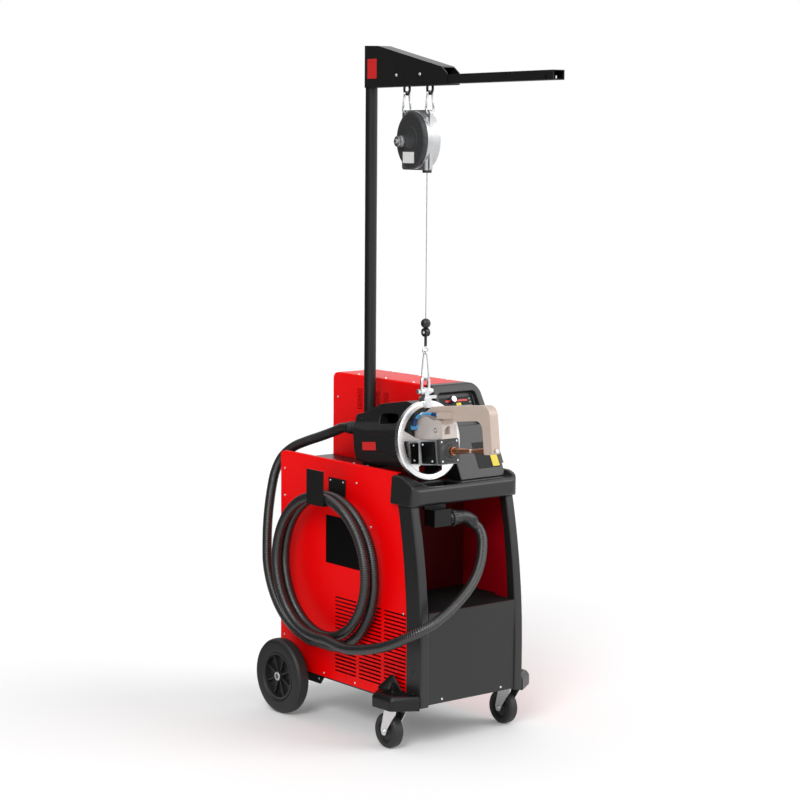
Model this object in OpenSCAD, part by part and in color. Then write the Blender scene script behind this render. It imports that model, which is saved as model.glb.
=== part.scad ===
// Mobile spot welder: a wheeled cabinet with a mast and arm, a spring balancer,
// a hanging C-type welding gun and the hose that joins the gun to the cabinet.
// Lengths are millimetres. Lengthways places are counted from the front caster
// axle, with Y to the back; place() then moves the origin to the middle of the base.

/* [Cabinet] */
// Width over the two side panels
body_w = 364; // [356:1:368]
// Height of the side panels' top edge above the floor
body_top = 780; // [776:1:784]
// Distance from the caster axle back to the rear panel's outer face
body_rear = 571; // [566:1:574]
// Thickness of the sheet panels
sheet = 2; // [1.5:0.1:2.5]
// Thickness of the floor plate
floor_t = 4; // [3:0.5:5]
// Height of the storage deck's top face
deck_z = 752; // [748:1:755]
// Width of the raised cabinet on the right
upper_w = 168; // [160:1:176]
// Height of the raised cabinet's top
upper_top = 1005; // [998:1:1012]
// Height of the storage bay's floor
bay_z = 395; // [380:1:410]
// Place of the storage bay's back wall
bay_back = 150; // [140:1:170]
// Width of the opening between the two front columns
opening_w = 320; // [312:1:322]
// Width of one front column
column_w = 30; // [28:1:32]
// Foremost place of the columns, ahead of the caster axle
front_reach = 110; // [106:1:114]
// Radius of the columns' sweep, seen from the side
sweep_r = 1960; // [1900:5:2020]
// Rows of cooling slots in each side panel
slot_rows = 20; // [16:1:21]
// Height of one cooling slot
slot_h = 4.5; // [3:0.5:6]
// Pitch of the cooling slots
slot_pitch = 11.5; // [10:0.5:12]

/* [Wheels] */
// Diameter of the rear wheels
rear_wheel_d = 225; // [221:1:227]
// Width of a rear tyre
rear_tyre_w = 44; // [40:1:46]
// Distance from the caster axle back to the rear axle
rear_axle_y = 491; // [485:1:496]
// Diameter of the rear axle
rear_axle_d = 20; // [18:0.5:20]
// Spokes in a rear hub
spokes = 8; // [6:1:10]
// Diameter of the caster wheels
caster_d = 100; // [96:1:102]
// Width of a caster wheel
caster_w = 32; // [28:1:34]
// Height of a caster from the floor to its plate
caster_h = 125; // [125:1:130]
// Distance between the two caster swivels
caster_track = 430; // [424:1:436]
// Distance of a caster's axle behind its swivel
caster_trail = 28; // [24:1:30]
// Width over the two front feet
feet_w = 532; // [528:1:540]

/* [Mast] */
// Outer diameter of the mast tube
mast_d = 35; // [32:0.5:36]
// Wall of the mast tube
mast_wall = 2.5; // [2:0.5:3]
// Height of the mast's top above the floor
mast_top = 1962; // [1950:1:1966]
// Turn of the arm away from straight ahead, in degrees
arm_turn = 9; // [8:0.5:10]
// Height of the bracket's underside
bracket_z = 1855; // [1850:1:1857]
// Length of the bracket ahead of the mast's axis
bracket_len = 455; // [445:1:470]
// Height of the bracket at the mast
bracket_h = 120; // [116:1:126]
// Plate thickness of the bracket
bracket_t = 3; // [2.5:0.5:3.5]
// Height of the arm tube
arm_h = 25; // [22:1:26]
// Distance from the mast's axis to the arm's tip
arm_reach = 966; // [940:1:990]
// Diameter of the hole near the arm's tip
arm_hole_d = 9; // [7:0.5:11]

/* [Balancer] */
// Width of the balancer's square case
case_w = 154; // [150:1:158]
// Height of the balancer's case
case_h = 166; // [162:1:168]
// Thickness of the balancer's drum housing
case_t = 30; // [28:1:34]
// Thickness of the case's square flange
case_flange = 10; // [8:1:12]
// Height of the balancer's underside above the floor
case_z = 1623; // [1621:1:1625]
// Diameter of the balancer's round covers
cover_d = 160; // [150:1:162]
// Radius on which the cable winds inside the balancer
drum_r = 50; // [48:0.5:52]
// Diameter of the balancer's wire rope
rope_d = 3; // [2:0.5:4]
// Distance from the mast's axis to the wire rope
rope_reach = 320; // [318:0.5:322]

/* [Gun] */
// Height of the gun ring's centre above the floor
ring_z = 868; // [866:1:872]
// Outer diameter of the gun's support ring
ring_d = 226; // [222:1:228]
// Radial width of the support ring
ring_band = 18; // [16:1:20]
// Upward pitch of the gun, in degrees
gun_pitch = 6.5; // [5.5:0.5:7]
// Width of the gun's casing
shell_w = 108; // [100:1:112]
// Distance of the casing's rear face behind the ring
shell_rear = 292; // [286:1:296]
// Length of the finger opening under the handle
grip_len = 83; // [76:1:88]
// Height of the finger opening under the handle
grip_h = 29; // [25:1:30]
// Thickness of the C-arm
carm_t = 30; // [26:1:34]
// Reach of the C-arm ahead of the ring
carm_reach = 290; // [280:1:300]
// Diameter of the moving electrode's rod
rod_d = 23; // [20:0.5:24]
// Diameter of the electrodes where they taper to the tip
electrode_d = 11; // [9:0.5:13]
// Gap between the closed electrode tips
tip_gap = 0.4; // [0.3:0.1:1]
// Travel of the moving electrode
stroke = 50; // [40:1:52]

/* [Hose] */
// Outer diameter of the hose
hose_d = 30; // [26:0.5:30]
// Radius of the coil's middle line
coil_r = 205; // [200:1:206]
// Width of the hose hook
hook_w = 80; // [70:1:90]

/* [Hidden] */
$fn = 48;

// Clearances: round parts that turn in each other, and flat parts that slide past each other
turn_gap = 0.05;
slide_gap = 0.3;
small_d = 7;

// Heights and places that several pieces share
floor_z = caster_h;
base_z = floor_z + floor_t;
side_x = body_w/2;
column_x = opening_w/2 + column_w;
tray_z = 692;
tray_front = 77;
tray_rear = 28;
tray_rim_z = 745;
tray_x = column_x + 8;
upper_x = side_x - upper_w;
hood_x = column_x;
mast_x = -45;
mast_y = 315;
rope_x = mast_x - rope_reach*sin(arm_turn);
rope_y = mast_y - rope_reach*cos(arm_turn);
rear_wheel_x = side_x + 30 + rear_tyre_w/2;
mid_y = (rear_axle_y + rear_wheel_d/2 + mast_y - arm_reach*cos(arm_turn) - arm_w()/2*sin(arm_turn))/2;

function arm_w() = mast_d - 1;
function unit(v) = v/norm(v);

// Front of the machine seen from the side: upright below sweep_z, then an arc that leans back
sweep_z = 250;
function sweep_y(z) = -front_reach + (z <= sweep_z ?
  0 : sweep_r - sqrt(sweep_r*sweep_r - (z - sweep_z)*(z - sweep_z)));

// Face of the raised cabinet's moulded front, a shallow arc that leans back from the tray
hood_r = 3250;
hood_lean = 25.7;
hood_foot = 35;
function hood_y(z) =
  hood_r*(cos(hood_lean) - sqrt(1 - pow(sin(hood_lean) + (z - tray_rim_z)/hood_r, 2))) - hood_foot;

// Joint between the raised cabinet and its moulded front, and the rounded front view of both
bezel_rear = hood_y(upper_top) + 29;
function cover_outline(x0, x1, low, inset, r) =
  outline([[x0, low, 0], [x1, low, 0], [x1, upper_top - inset, r - inset],
    [x0, upper_top - inset, 8 - inset]]);

// Front edge of the side panels, a flatter arc behind the columns
edge_r = 1820;
edge_z = 300;
lap = 8;
function edge_y(z) = -front_reach + 68 + (z <= edge_z ?
  0 : edge_r - sqrt(edge_r*edge_r - (z - edge_z)*(z - edge_z)));

// Closed outline from points [x, y, r], each corner rounded to its radius r
function corner(a, b, c, r, n) =
  let (u = unit(a - b), v = unit(c - b), half = acos(max(-1, min(1, u*v)))/2,
       mid = b + unit(u + v)*r/sin(half),
       p = b + u*r/tan(half), q = b + v*r/tan(half),
       a0 = atan2(p.y - mid.y, p.x - mid.x), a1 = atan2(q.y - mid.y, q.x - mid.x),
       turn = a1 - a0 > 180 ? a1 - a0 - 360 : a1 - a0 < -180 ? a1 - a0 + 360 : a1 - a0)
  [for (i = [0:n]) mid + r*[cos(a0 + turn*i/n), sin(a0 + turn*i/n)]];
function outline(p, n = 5) =
  [for (i = [0:len(p) - 1])
    let (k = len(p), b = [p[i].x, p[i].y])
    each p[i][2] == 0 ? [b] :
      corner([p[(i + k - 1) % k].x, p[(i + k - 1) % k].y], b,
             [p[(i + 1) % k].x, p[(i + 1) % k].y], p[i][2], n)];
function box_outline(x0, y0, x1, y1, r) = outline([[x0, y0, r], [x1, y0, r], [x1, y1, r], [x0, y1, r]]);

// Frames: the whole machine, the arm's own frame and the gun's own frame
module place() { translate([0, -mid_y, 0]) children(); }
module arm_frame() { place() translate([mast_x, mast_y, 0]) rotate([0, 0, -arm_turn]) children(); }
module gun_frame() {
  place() translate([rope_x, rope_y - ring_d/2*sin(gun_pitch), ring_z]) rotate([-gun_pitch, 0, 0])
    children();
}
module hang_frame() { place() translate([rope_x, rope_y, 0]) children(); }

// Prisms of an outline drawn in the side view (Y, Z), front view (X, Z) or plan (X, Y)
module side_prism(x0, x1) { translate([x0, 0, 0]) rotate([90, 0, 90]) linear_extrude(x1 - x0) children(); }
module front_prism(y0, y1) { translate([0, y1, 0]) rotate([90, 0, 0]) linear_extrude(y1 - y0) children(); }
module plan_prism(z0, z1) { translate([0, 0, z0]) linear_extrude(z1 - z0) children(); }
module block(p, q) { translate(p) cube(q - p); }

// Round bars along X, along Y and between two points
module bar_x(x0, x1, y, z, d) { translate([x0, y, z]) rotate([0, 90, 0]) cylinder(d = d, h = x1 - x0); }
module bar_y(y0, y1, x, z, d) { translate([x, y1, z]) rotate([90, 0, 0]) cylinder(d = d, h = y1 - y0); }
module bar(p, q, d) {
  v = q - p;
  translate(p) rotate([0, acos(v.z/norm(v)), atan2(v.y, v.x)]) cylinder(d = d, h = norm(v));
}
module both_sides() {
  children();
  mirror([1, 0, 0]) children();
}

// Pear-shaped link of round wire in the Y-Z plane: small bow on top, large bow below. The straight
// sides are a little thinner than the bows and end inside them.
module wire_arc(r, wire, a0, a1) {
  rotate([90, 0, 90]) rotate([0, 0, a0]) rotate_extrude(angle = a1 - a0) translate([r, 0])
    circle(d = wire, $fn = 16);
}
module pear_link(top_r, low_r, len, wire) {
  lean = asin((low_r - top_r)/len);
  side = sqrt(len*len - (low_r - top_r)*(low_r - top_r));
  wire_arc(top_r, wire, lean, 180 - lean);
  translate([0, 0, -len]) wire_arc(low_r, wire, 180 - lean, 360 + lean);
  for (s = [-1, 1])
    rotate([s*lean, 0, 0]) translate([0, s*top_r, -side - 0.8])
      cylinder(d = wire - 0.2, h = side + 1.6, $fn = 16);
}

// Button-head screw whose head stands out along +Z
module screw(d = small_d) { cylinder(d1 = d, d2 = d*0.55, h = d*0.3, $fn = 24); }

// Tube swept along points, its section turned as little as possible from ring to ring
function tangent(p, i) = unit(p[min(i + 1, len(p) - 1)] - p[max(i - 1, 0)]);
function level(s, t) = unit(s - t*(t*s));
module swept_tube(p, d, sides, first_side) {
  n = len(p);
  side = [for (i = 0, s = level(first_side, tangent(p, 0)); i < n;
           i = i + 1, s = level(s, tangent(p, min(i, n - 1)))) s];
  rings = [for (i = [0:n - 1], k = [0:sides - 1])
    let (t = tangent(p, i), a = 360*k/sides)
    p[i] + d/2*(side[i]*cos(a) + cross(t, side[i])*sin(a))];
  walls = [for (i = [0:n - 2], k = [0:sides - 1])
    let (a = i*sides + k, b = i*sides + (k + 1) % sides)
    each [[a, b, b + sides], [a, b + sides, a + sides]]];
  caps = [for (k = [1:sides - 2]) each [[0, k + 1, k],
    [(n - 1)*sides, (n - 1)*sides + k, (n - 1)*sides + k + 1]]];
  polyhedron(rings, [for (f = concat(walls, caps)) [f[0], f[2], f[1]]]);
}

// ---------------------------------------------------------------- cabinet

// Floor plate with an ear under each foot for a caster, two hangers for the rear axle and an
// upright partition along the middle
module chassis() color("#202122") place() {
  caster_x = caster_track/2;
  ear = 30;
  difference() {
    union() {
      plan_prism(floor_z, base_z) polygon([[-side_x, -58], [side_x, -58], [side_x, body_rear],
        [-side_x, body_rear]]);
      both_sides() plan_prism(floor_z, base_z)
        polygon(box_outline(side_x - 40, -58, caster_x + ear, 10, 6));
      block([-sheet/2, -56, floor_z], [sheet/2, body_rear - sheet - slide_gap, bay_z - sheet - slide_gap]);
      both_sides() side_prism(side_x - 22, side_x - 18)
        polygon([[rear_axle_y - 118, floor_z], [rear_axle_y - 96, floor_z - 30],
          [rear_axle_y + 30, floor_z - 30],
                 [rear_axle_y + 60, floor_z]]);
    }
    for (s = [-1, 1])
      translate([s*caster_x, -caster_trail, 0]) cylinder(d = 12 + 2*turn_gap, h = base_z + 1);
    bar_x(-side_x, side_x, rear_axle_y, rear_wheel_d/2, rear_axle_d + 0.2);
    for (s = [-1, 1])
      bar_x(s*(side_x - 20) - 5, s*(side_x - 20) + 5, rear_axle_y - 88, floor_z - 16, 8);
  }
}

// Side sheet with a folded top edge, swept front edge, rounded top corner and cooling slots
module side_panel() {
  arc = [for (z = [body_top:-24:edge_z]) [edge_y(z) - lap, z]];
  slot_x0 = [-30, 82, 198];
  slot_x1 = [68, 184, 298];
  difference() {
    intersection() {
      front_prism(edge_y(base_z) - lap, body_rear)
        polygon(outline([[-side_x, base_z, 0], [-side_x, body_top, 6], [fold - side_x, body_top, 0],
          [fold - side_x, body_top - sheet, 0], [sheet - side_x, body_top - sheet, 4],
            [sheet - side_x, base_z, 0]]));
      side_prism(-side_x, 0)
        polygon(outline(concat([[edge_y(base_z) - lap, base_z, 0], [body_rear, base_z, 0],
          [body_rear, body_top, 14]],
          [for (p = arc) [p[0], p[1], 0]])));
    }
    for (i = [0:slot_rows - 1], k = [0:2])
      block([-side_x - 1, slot_x0[k], 376 - i*slot_pitch],
        [-side_x + 4, slot_x1[k], 376 + slot_h - i*slot_pitch]);
  }
}
module left_side_panel() color("#e30613") place() side_panel();
module right_side_panel() color("#e30613") place() mirror([1, 0, 0]) side_panel();

// Rear sheet that folds forward at its top into the storage deck
module back_panel() color("#1d1e20") place() {
  inner = side_x - sheet;
  difference() {
    union() {
      block([-inner, body_rear - sheet, base_z], [inner, body_rear, deck_z]);
      block([-inner, tray_rear, deck_z - sheet], [inner, body_rear, deck_z]);
    }
    for (i = [0:11], s = [-1, 1])
      block([s*80 - 60, body_rear - sheet - 1, 200 + i*12], [s*80 + 60, body_rear + 1, 205 + i*12]);
    bar_y(body_rear - sheet - 1, body_rear + 1, 100, 560, 12 + 2*turn_gap);
  }
}

// Open bay behind the front opening: a floor sheet that folds up into the back wall
module bay_liner() color("#8f0a10") place() {
  inner = side_x - sheet;
  plan_prism(bay_z - sheet, bay_z)
    polygon([[-opening_w/2, -front_reach + 5 + sheet], [opening_w/2, -front_reach + 5 + sheet],
      [opening_w/2, 0], [inner, 0],
             [inner, bay_back], [-inner, bay_back], [-inner, 0], [-opening_w/2, 0]]);
  block([-inner, bay_back - sheet, bay_z], [inner, bay_back, deck_z - sheet]);
}

// Flat sheet between the columns with its top edge folded back
module front_lower_panel() color("#3a3b3d") place() {
  half = opening_w/2;
  block([-half, -front_reach + 5, base_z + 5], [half, -front_reach + 5 + sheet, bay_z]);
  block([-half, -front_reach + 5 + sheet, bay_z - 2*sheet], [half, -front_reach + 20, bay_z - sheet]);
  for (s = [-1, 1])
    block([s*90 - 20, -front_reach + 5 + sheet, base_z + 5], [s*90 + 20, -58, base_z + 5 + sheet]);
}

// Curved front column: a pillar with a side flange that laps over the side panel's front edge
module column_section(r) {
  lap = side_x + slide_gap;
  polygon(outline([[r - 24, opening_w/2, 0], [r - 2, opening_w/2, 1.5], [r, opening_w/2 + 3, 1.5],
    [r, column_x, 6], [r - 90, column_x, 0], [r - 90, lap, 0], [r - 24, lap, 0]]));
}
module front_column() {
  top_turn = asin((tray_z - sweep_z)/sweep_r) + 2;
  flange_edge = [for (z = [tray_z:-24:edge_z]) [edge_y(z), z]];
  mirror([1, 0, 0]) intersection() {
    translate([0, sweep_r - front_reach, 0]) {
      translate([0, 0, sweep_z]) mirror([1, 0, 0]) rotate([90, 0, 0]) rotate([0, -90, 0])
        rotate_extrude(angle = top_turn, $fn = 180) column_section(sweep_r);
      translate([0, 0, base_z]) linear_extrude(sweep_z - base_z)
        mirror([0, 1, 0]) mirror([1, 0, 0]) rotate([0, 0, 90]) column_section(sweep_r);
    }
    side_prism(opening_w/2 - 1, column_x + 1)
      polygon(concat([[edge_y(base_z), base_z], [-front_reach - 1, base_z], [-front_reach - 1, tray_z]],
        flange_edge));
  }
}
module left_column() color("#2b2c2e") place() front_column();
module right_column() color("#2b2c2e") place() mirror([1, 0, 0]) front_column();

// Moulded foot that covers the floor plate's ear: a low tray with a fin up the column's side
module front_foot() {
  inner_x = column_x + slide_gap;
  outer_x = feet_w/2;
  low_z = floor_z - 3;
  difference() {
    union() {
      hull() {
        plan_prism(low_z, low_z + 30)
          polygon(outline([[-inner_x, -front_reach, 0], [-outer_x + 4, -62, 14], [-outer_x, 18, 12],
            [-inner_x, 60, 0]]));
        plan_prism(low_z + 40, low_z + 42)
          polygon(outline([[-inner_x, -front_reach + 4, 0], [-outer_x + 12, -58, 12],
            [-outer_x + 8, 12, 12], [-inner_x, 62, 0]]));
      }
      hull() {
        block([-inner_x - 3, -30, low_z + 41], [-inner_x, 66, low_z + 42]);
        block([-inner_x - 3, 8, low_z + 80], [-inner_x, 20, low_z + 82]);
        block([-inner_x - 30, 30, low_z + 41], [-inner_x, 50, low_z + 42]);
      }
    }
    plan_prism(low_z + 32, low_z + 60)
      polygon(outline([[-inner_x - 4, -front_reach + 16, 4], [-outer_x + 22, -50, 10],
        [-outer_x + 20, 0, 10], [-inner_x - 6, 10, 8]]));
    block([-caster_track/2 - 31, -60, low_z - 1], [-inner_x + 1, 12, base_z + slide_gap]);
  }
}
module left_foot() color("#1b1c1e") place() front_foot();
module right_foot() color("#1b1c1e") place() mirror([1, 0, 0]) front_foot();

// Moulded tray across the front: bumper rim, raised shoulders and two pockets with a rib between
module front_tray() color("#3b3c3e") place() {
  x = tray_x;
  top = body_top - sheet - 4.2;
  rib = -3;
  difference() {
    intersection() {
      side_prism(-x, x)
        polygon(outline([[tray_rear, tray_z, 0], [tray_rear, top, 0], [-14, top, 16],
          [-tray_front + 12, tray_rim_z + 6, 10],
          [-tray_front, tray_rim_z - 8, 6], [-tray_front, tray_z + 8, 6], [-tray_front + 8, tray_z, 4]]));
      front_prism(-tray_front, tray_rear)
        polygon(outline([[-x, tray_z, 3], [x, tray_z, 3], [x, top - 14, 8], [x - 4, top - 10, 3],
          [side_x + slide_gap, top - 12, 3],
          [side_x + slide_gap, tray_rim_z, 0], [-134, tray_rim_z, 20], [-168, top, 10], [-x + 6, top, 8]]));
      plan_prism(tray_z, top)
        polygon(outline([[-x, -tray_front, 26], [x, -tray_front, 26], [x, tray_rear, 0],
          [-x, tray_rear, 0]]));
    }
    for (s = [-1, 1])
      block([s*(side_x - sheet/2) - sheet/2 - slide_gap, edge_y(tray_z) - lap - 1, tray_z - 1],
        [s*(side_x - sheet/2) + sheet/2 + slide_gap, tray_rear + 1, top + 1]);
    plan_prism(tray_z + 20, top + 1) polygon(box_outline(-128, -tray_front + 18, rib - 9, tray_rear - 8,
      14));
    plan_prism(tray_z + 20, top + 1) polygon(box_outline(rib + 9, -tray_front + 18, side_x - 12,
      hood_y(tray_rim_z) - 4, 8));
  }
}

// Moulded front of the raised cabinet: swept face and a hooded recess for the controls
module control_housing() color("#2e2f31") place() {
  face = [for (z = [tray_rim_z:25:upper_top - 20]) [hood_y(z), z]];
  lean = 25;
  difference() {
    intersection() {
      side_prism(upper_x, hood_x)
        polygon(outline(concat([for (p = face) [p[0], p[1], 0]], [[hood_y(upper_top), upper_top, 8],
          [bezel_rear, upper_top, 0], [bezel_rear, deck_z, 0], [tray_rear, deck_z, 0],
            [tray_rear, tray_rim_z, 0]])));
      front_prism(-hood_foot, bezel_rear) polygon(cover_outline(upper_x, hood_x, tray_rim_z, 0, 32));
    }
    block([side_x, -hood_foot - 1, tray_z], [hood_x + 1, bezel_rear + 1, body_top]);
    translate([0, hood_y(recess_low), recess_low]) rotate([-lean, 0, 0])
      front_prism(-60, recess_depth) polygon(box_outline(upper_x + 13, 0, side_x - 13, 104, 12));
    translate(knob_seat()) rotate([90 - lean, 0, 0]) translate([0, 0, -80])
      cylinder(d = 6 + 2*turn_gap, h = 100);
    translate(socket_seat()) rotate([90 - lean, 0, 0]) translate([0, 0, -14]) cylinder(d = 22.4, h = 30);
    panel_rebate();
  }
}
// Where the control knob's shaft and the signal socket pass the recess's floor
recess_low = upper_top - 113;
recess_depth = 24;
function recess_point(x, up) = [x, hood_y(recess_low) + recess_depth*cos(25) + up*sin(25),
  recess_low - recess_depth*sin(25) + up*cos(25)];
function knob_seat() = recess_point(upper_x + 71, 84);
function socket_seat() = recess_point(upper_x + 50, 20);

// Rebate that the raised parts have over the right panel's folded top edge
fold = 14;
module panel_rebate() {
  block([side_x - fold - slide_gap, edge_y(deck_z) - lap - 6, tray_z],
    [side_x + 1, body_rear + 1, body_top]);
}

// Folded red cover behind the moulded front, with a grid of louvres in its left wall
module upper_cabinet() color("#e30613") place() {
  difference() {
    intersection() {
      side_prism(upper_x, side_x)
        polygon(outline([[bezel_rear, deck_z, 0], [body_rear, deck_z, 0], [body_rear, upper_top, 20],
          [bezel_rear, upper_top, 0]]));
      front_prism(bezel_rear, body_rear) polygon(cover_outline(upper_x, side_x, deck_z, 0, 24));
    }
    intersection() {
      side_prism(upper_x + sheet, side_x - sheet)
        polygon(outline([[bezel_rear - 1, deck_z - 1, 0], [body_rear - sheet, deck_z - 1, 0],
          [body_rear - sheet, upper_top - sheet, 18], [bezel_rear - 1, upper_top - sheet, 0]]));
      front_prism(bezel_rear - 1, body_rear)
        polygon(cover_outline(upper_x + sheet, side_x - sheet, deck_z - 1, sheet, 24));
    }
    for (i = [0:11], k = [0:3])
      block([upper_x - 1, 300 + k*42, 903 + i*5.3], [upper_x + sheet + 1, 326 + k*42, 905 + i*5.3]);
    panel_rebate();
  }
}

// Keypad board on the recess's floor, with a signal socket set into the same floor
module control_board() color("#27282b") place() {
  lean = 25;
  difference() {
    translate(recess_point(0, 0)) rotate([-lean, 0, 0])
      front_prism(-2, 0) polygon(box_outline(upper_x + 18, 30, side_x - 18, 92, 4));
    translate(knob_seat()) rotate([90 - lean, 0, 0]) translate([0, 0, -20]) cylinder(d = 9, h = 40);
  }
  translate(socket_seat()) rotate([90 - lean, 0, 0]) difference() {
    union() {
      translate([0, 0, -12]) cylinder(d = 22, h = 12);
      cylinder(d = 28, h = 3);
    }
    translate([0, 0, -6]) cylinder(d = 16, h = 20);
  }
}

// Turned knob on a shaft that passes the board
module control_knob() color("#b9bbbe") place()
  translate(knob_seat()) rotate([90 - 25, 0, 0]) {
    translate([0, 0, -16]) cylinder(d = 6, h = 20);
    translate([0, 0, 2 + slide_gap]) cylinder(d = 20, h = 9);
    translate([0, 0, 11 + slide_gap]) cylinder(d1 = 20, d2 = 17, h = 3);
  }

// Rotary main switch on the rear sheet
module main_switch() color("#c81e1e") place()
  translate([100, body_rear, 560]) {
    bar_y(-sheet - 8, 4, 0, 0, 12);
    bar_y(slide_gap, 8, 0, 0, 44);
    block([-5, 8, -20], [5, 20, 20]);
  }

// ---------------------------------------------------------------- mast and arm

// Round steel mast, open inside
module mast() color("#232426") place()
  translate([mast_x, mast_y, deck_z]) difference() {
    cylinder(d = mast_d, h = mast_top - deck_z);
    translate([0, 0, -1]) cylinder(d = mast_d - 2*mast_wall, h = mast_top - deck_z + 2);
  }

// Flanged socket that stands the mast on the deck
module mast_socket() color("#2b2c2e") place()
  translate([mast_x, mast_y, deck_z]) difference() {
    union() {
      plan_prism(0, 5) polygon(box_outline(-40, -40, 40, 40, 8));
      cylinder(d = mast_d + 10, h = 60);
    }
    translate([0, 0, -1]) cylinder(d = mast_d + 0.4, h = 70);
  }

// Folded bracket: a plate bent round the mast's back, cut to a taper, with a top and a bottom web
module arm_bracket() color("#26272a") arm_frame() {
  inner = mast_d/2 + 0.2;
  outer = inner + bracket_t;
  nose_z = arm_top() + 22;
  difference() {
    intersection() {
      union() {
        translate([0, 0, bracket_z]) cylinder(r = outer, h = bracket_h);
        block([-outer, -bracket_len, bracket_z], [outer, 0, bracket_z + bracket_h]);
      }
      side_prism(-outer, outer)
        polygon([[outer - 6, bracket_z], [outer, bracket_z + 8], [outer, bracket_z + bracket_h - 10],
          [outer - 8, bracket_z + bracket_h], [-72, bracket_z + bracket_h - 3], [-bracket_len + 30, nose_z],
          [-bracket_len, nose_z - 18], [-bracket_len, bracket_z]]);
    }
    translate([0, 0, bracket_z - 1]) cylinder(r = inner, h = bracket_h - bracket_t + 1);
    side_prism(-inner, inner)
      polygon([[0, bracket_z - 1], [0, bracket_z + bracket_h - bracket_t],
        [-72, bracket_z + bracket_h - 3 - bracket_t],
        [-bracket_len + 28, nose_z - bracket_t], [-bracket_len - 1, nose_z - bracket_t],
        [-bracket_len - 1, bracket_z + bracket_t], [-mast_d, bracket_z + bracket_t],
          [-mast_d, bracket_z - 1]]);
    for (y = bolt_places())
      bar_x(-outer - 1, outer + 1, -y, bolt_z(), 6.4);
  }
}
function bolt_places() = [180, 311];
function arm_top() = bracket_z + bracket_t + slide_gap + arm_h;
function bolt_z() = arm_top() + slide_gap + 3;

// Rectangular arm that slides out of the bracket: an open tube with a hanging hole near its tip
module arm_tube() color("#232426") arm_frame() {
  low = bracket_z + bracket_t + slide_gap;
  half = arm_w()/2;
  inner_end = -235;
  wall = 2.5;
  difference() {
    block([-half, -arm_reach, low], [half, inner_end, low + arm_h]);
    block([-half + wall, -arm_reach - 1, low + wall], [half - wall, inner_end + 1, low + arm_h - wall]);
    bar_x(-half - 1, half + 1, -arm_reach + 35, low + 8, arm_hole_d);
  }
}

// ---------------------------------------------------------------- balancer

// Welded eyes under the bracket and the two pear-shaped links that carry the balancer
function eye_places() = [rope_reach - 115, rope_reach + 12];
eye_r = 15;
eye_drop = 7;
eye_wire = 7;
link_wire = 6;
link_top_r = 7.5;
link_bow = 12.5;
link_hole = 12;
link_seat = 1.2;
function link_top() = bracket_z - eye_drop - eye_r + (eye_wire + link_wire)/2 + 0.2 - link_top_r;
module balancer_hangers() color("#8d9093") arm_frame() {
  for (s = eye_places()) {
    difference() {
      translate([0, -s, bracket_z - eye_drop]) rotate([0, 90, 0])
        rotate_extrude() translate([eye_r, 0]) circle(d = eye_wire, $fn = 20);
      block([-eye_wire, -s - eye_r - eye_wire, bracket_z],
        [eye_wire, -s + eye_r + eye_wire, bracket_z + eye_r]);
    }
    translate([0, -s, link_top()]) rotate([0, 0, 90])
      pear_link(link_top_r, link_bow, link_len(), link_wire);
  }
}
function link_len() = link_top() - link_bow - lug_z() - link_seat;
function lug_z() = case_z + case_h - 11;

// Cast case: a drum housing on a square flange, with a vertical rope guide and two link holes
module balancer_case() color("#a9abad") arm_frame() {
  near = -rope_reach - 22;
  far = near + case_w;
  mid_z = case_z + case_h/2;
  drum_y = -rope_reach + drum_r;
  difference() {
    union() {
      side_prism(-case_flange/2, case_flange/2) polygon(box_outline(near, case_z, far, case_z + case_h,
        10));
      translate([0, -rope_reach, case_z]) cylinder(d = 26, h = case_h - 20);
      translate([-case_t/2, drum_y, mid_z]) rotate([0, 90, 0]) cylinder(d = cover_d, h = case_t + 10);
      translate([case_t/2 + 10, drum_y, mid_z]) rotate([0, 90, 0])
        cylinder(d1 = cover_d, d2 = cover_d - 40, h = 7);
    }
    translate([-12, drum_y, mid_z]) rotate([0, 90, 0]) cylinder(r = drum_r + 6, h = 24);
    translate([0, -rope_reach, case_z - 1]) cylinder(d = 8, h = case_h/2 + 2);
    block([-4, -rope_reach - 4, mid_z - 24], [4, drum_y - drum_r + 12, mid_z]);
    for (s = eye_places())
      bar_x(-case_flange/2 - 1, case_flange/2 + 1, -s, lug_z(), link_hole);
    bar_x(-case_t/2 - 1, case_t/2 + 1, drum_y, mid_z, 12 + 2*turn_gap);
  }
}

// Round dark cover over the spring side, with a raised rim and a label seat
module balancer_cover() color("#3f4042") arm_frame() {
  drum_y = -rope_reach + drum_r;
  translate([-case_t/2, drum_y, case_z + case_h/2]) rotate([0, -90, 0]) difference() {
    union() {
      cylinder(d = cover_d, h = 8, $fn = 96);
      translate([0, 0, 8]) cylinder(d1 = cover_d, d2 = cover_d - 14, h = 6, $fn = 96);
    }
    translate([0, 0, -1]) cylinder(d = 12.4, h = 7);
    translate([knob_rise(), knob_side(), 3]) cylinder(d = 10 + 2*turn_gap, h = 20);
    translate([28, -3, 11]) cylinder(d = 9, h = 10);
  }
}
function knob_rise() = -4;
function knob_side() = 38;

// Adjusting knob of the spring, a stepped drum with a hexagon end
module tension_knob() color("#9a9c9f") arm_frame() {
  drum_y = -rope_reach + drum_r;
  translate([-case_t/2, drum_y + knob_side(), case_z + case_h/2 + knob_rise()]) rotate([0, -90, 0]) {
    translate([0, 0, 4]) cylinder(d = 10, h = 12);
    translate([0, 0, 14 + slide_gap]) cylinder(d = 32, h = 8);
    translate([0, 0, 22 + slide_gap]) cylinder(d = 26, h = 5);
    translate([0, 0, 27 + slide_gap]) cylinder(d = 30, h = 6);
    translate([0, 0, 33 + slide_gap]) cylinder(d = 14, h = 6, $fn = 6);
  }
}

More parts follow.
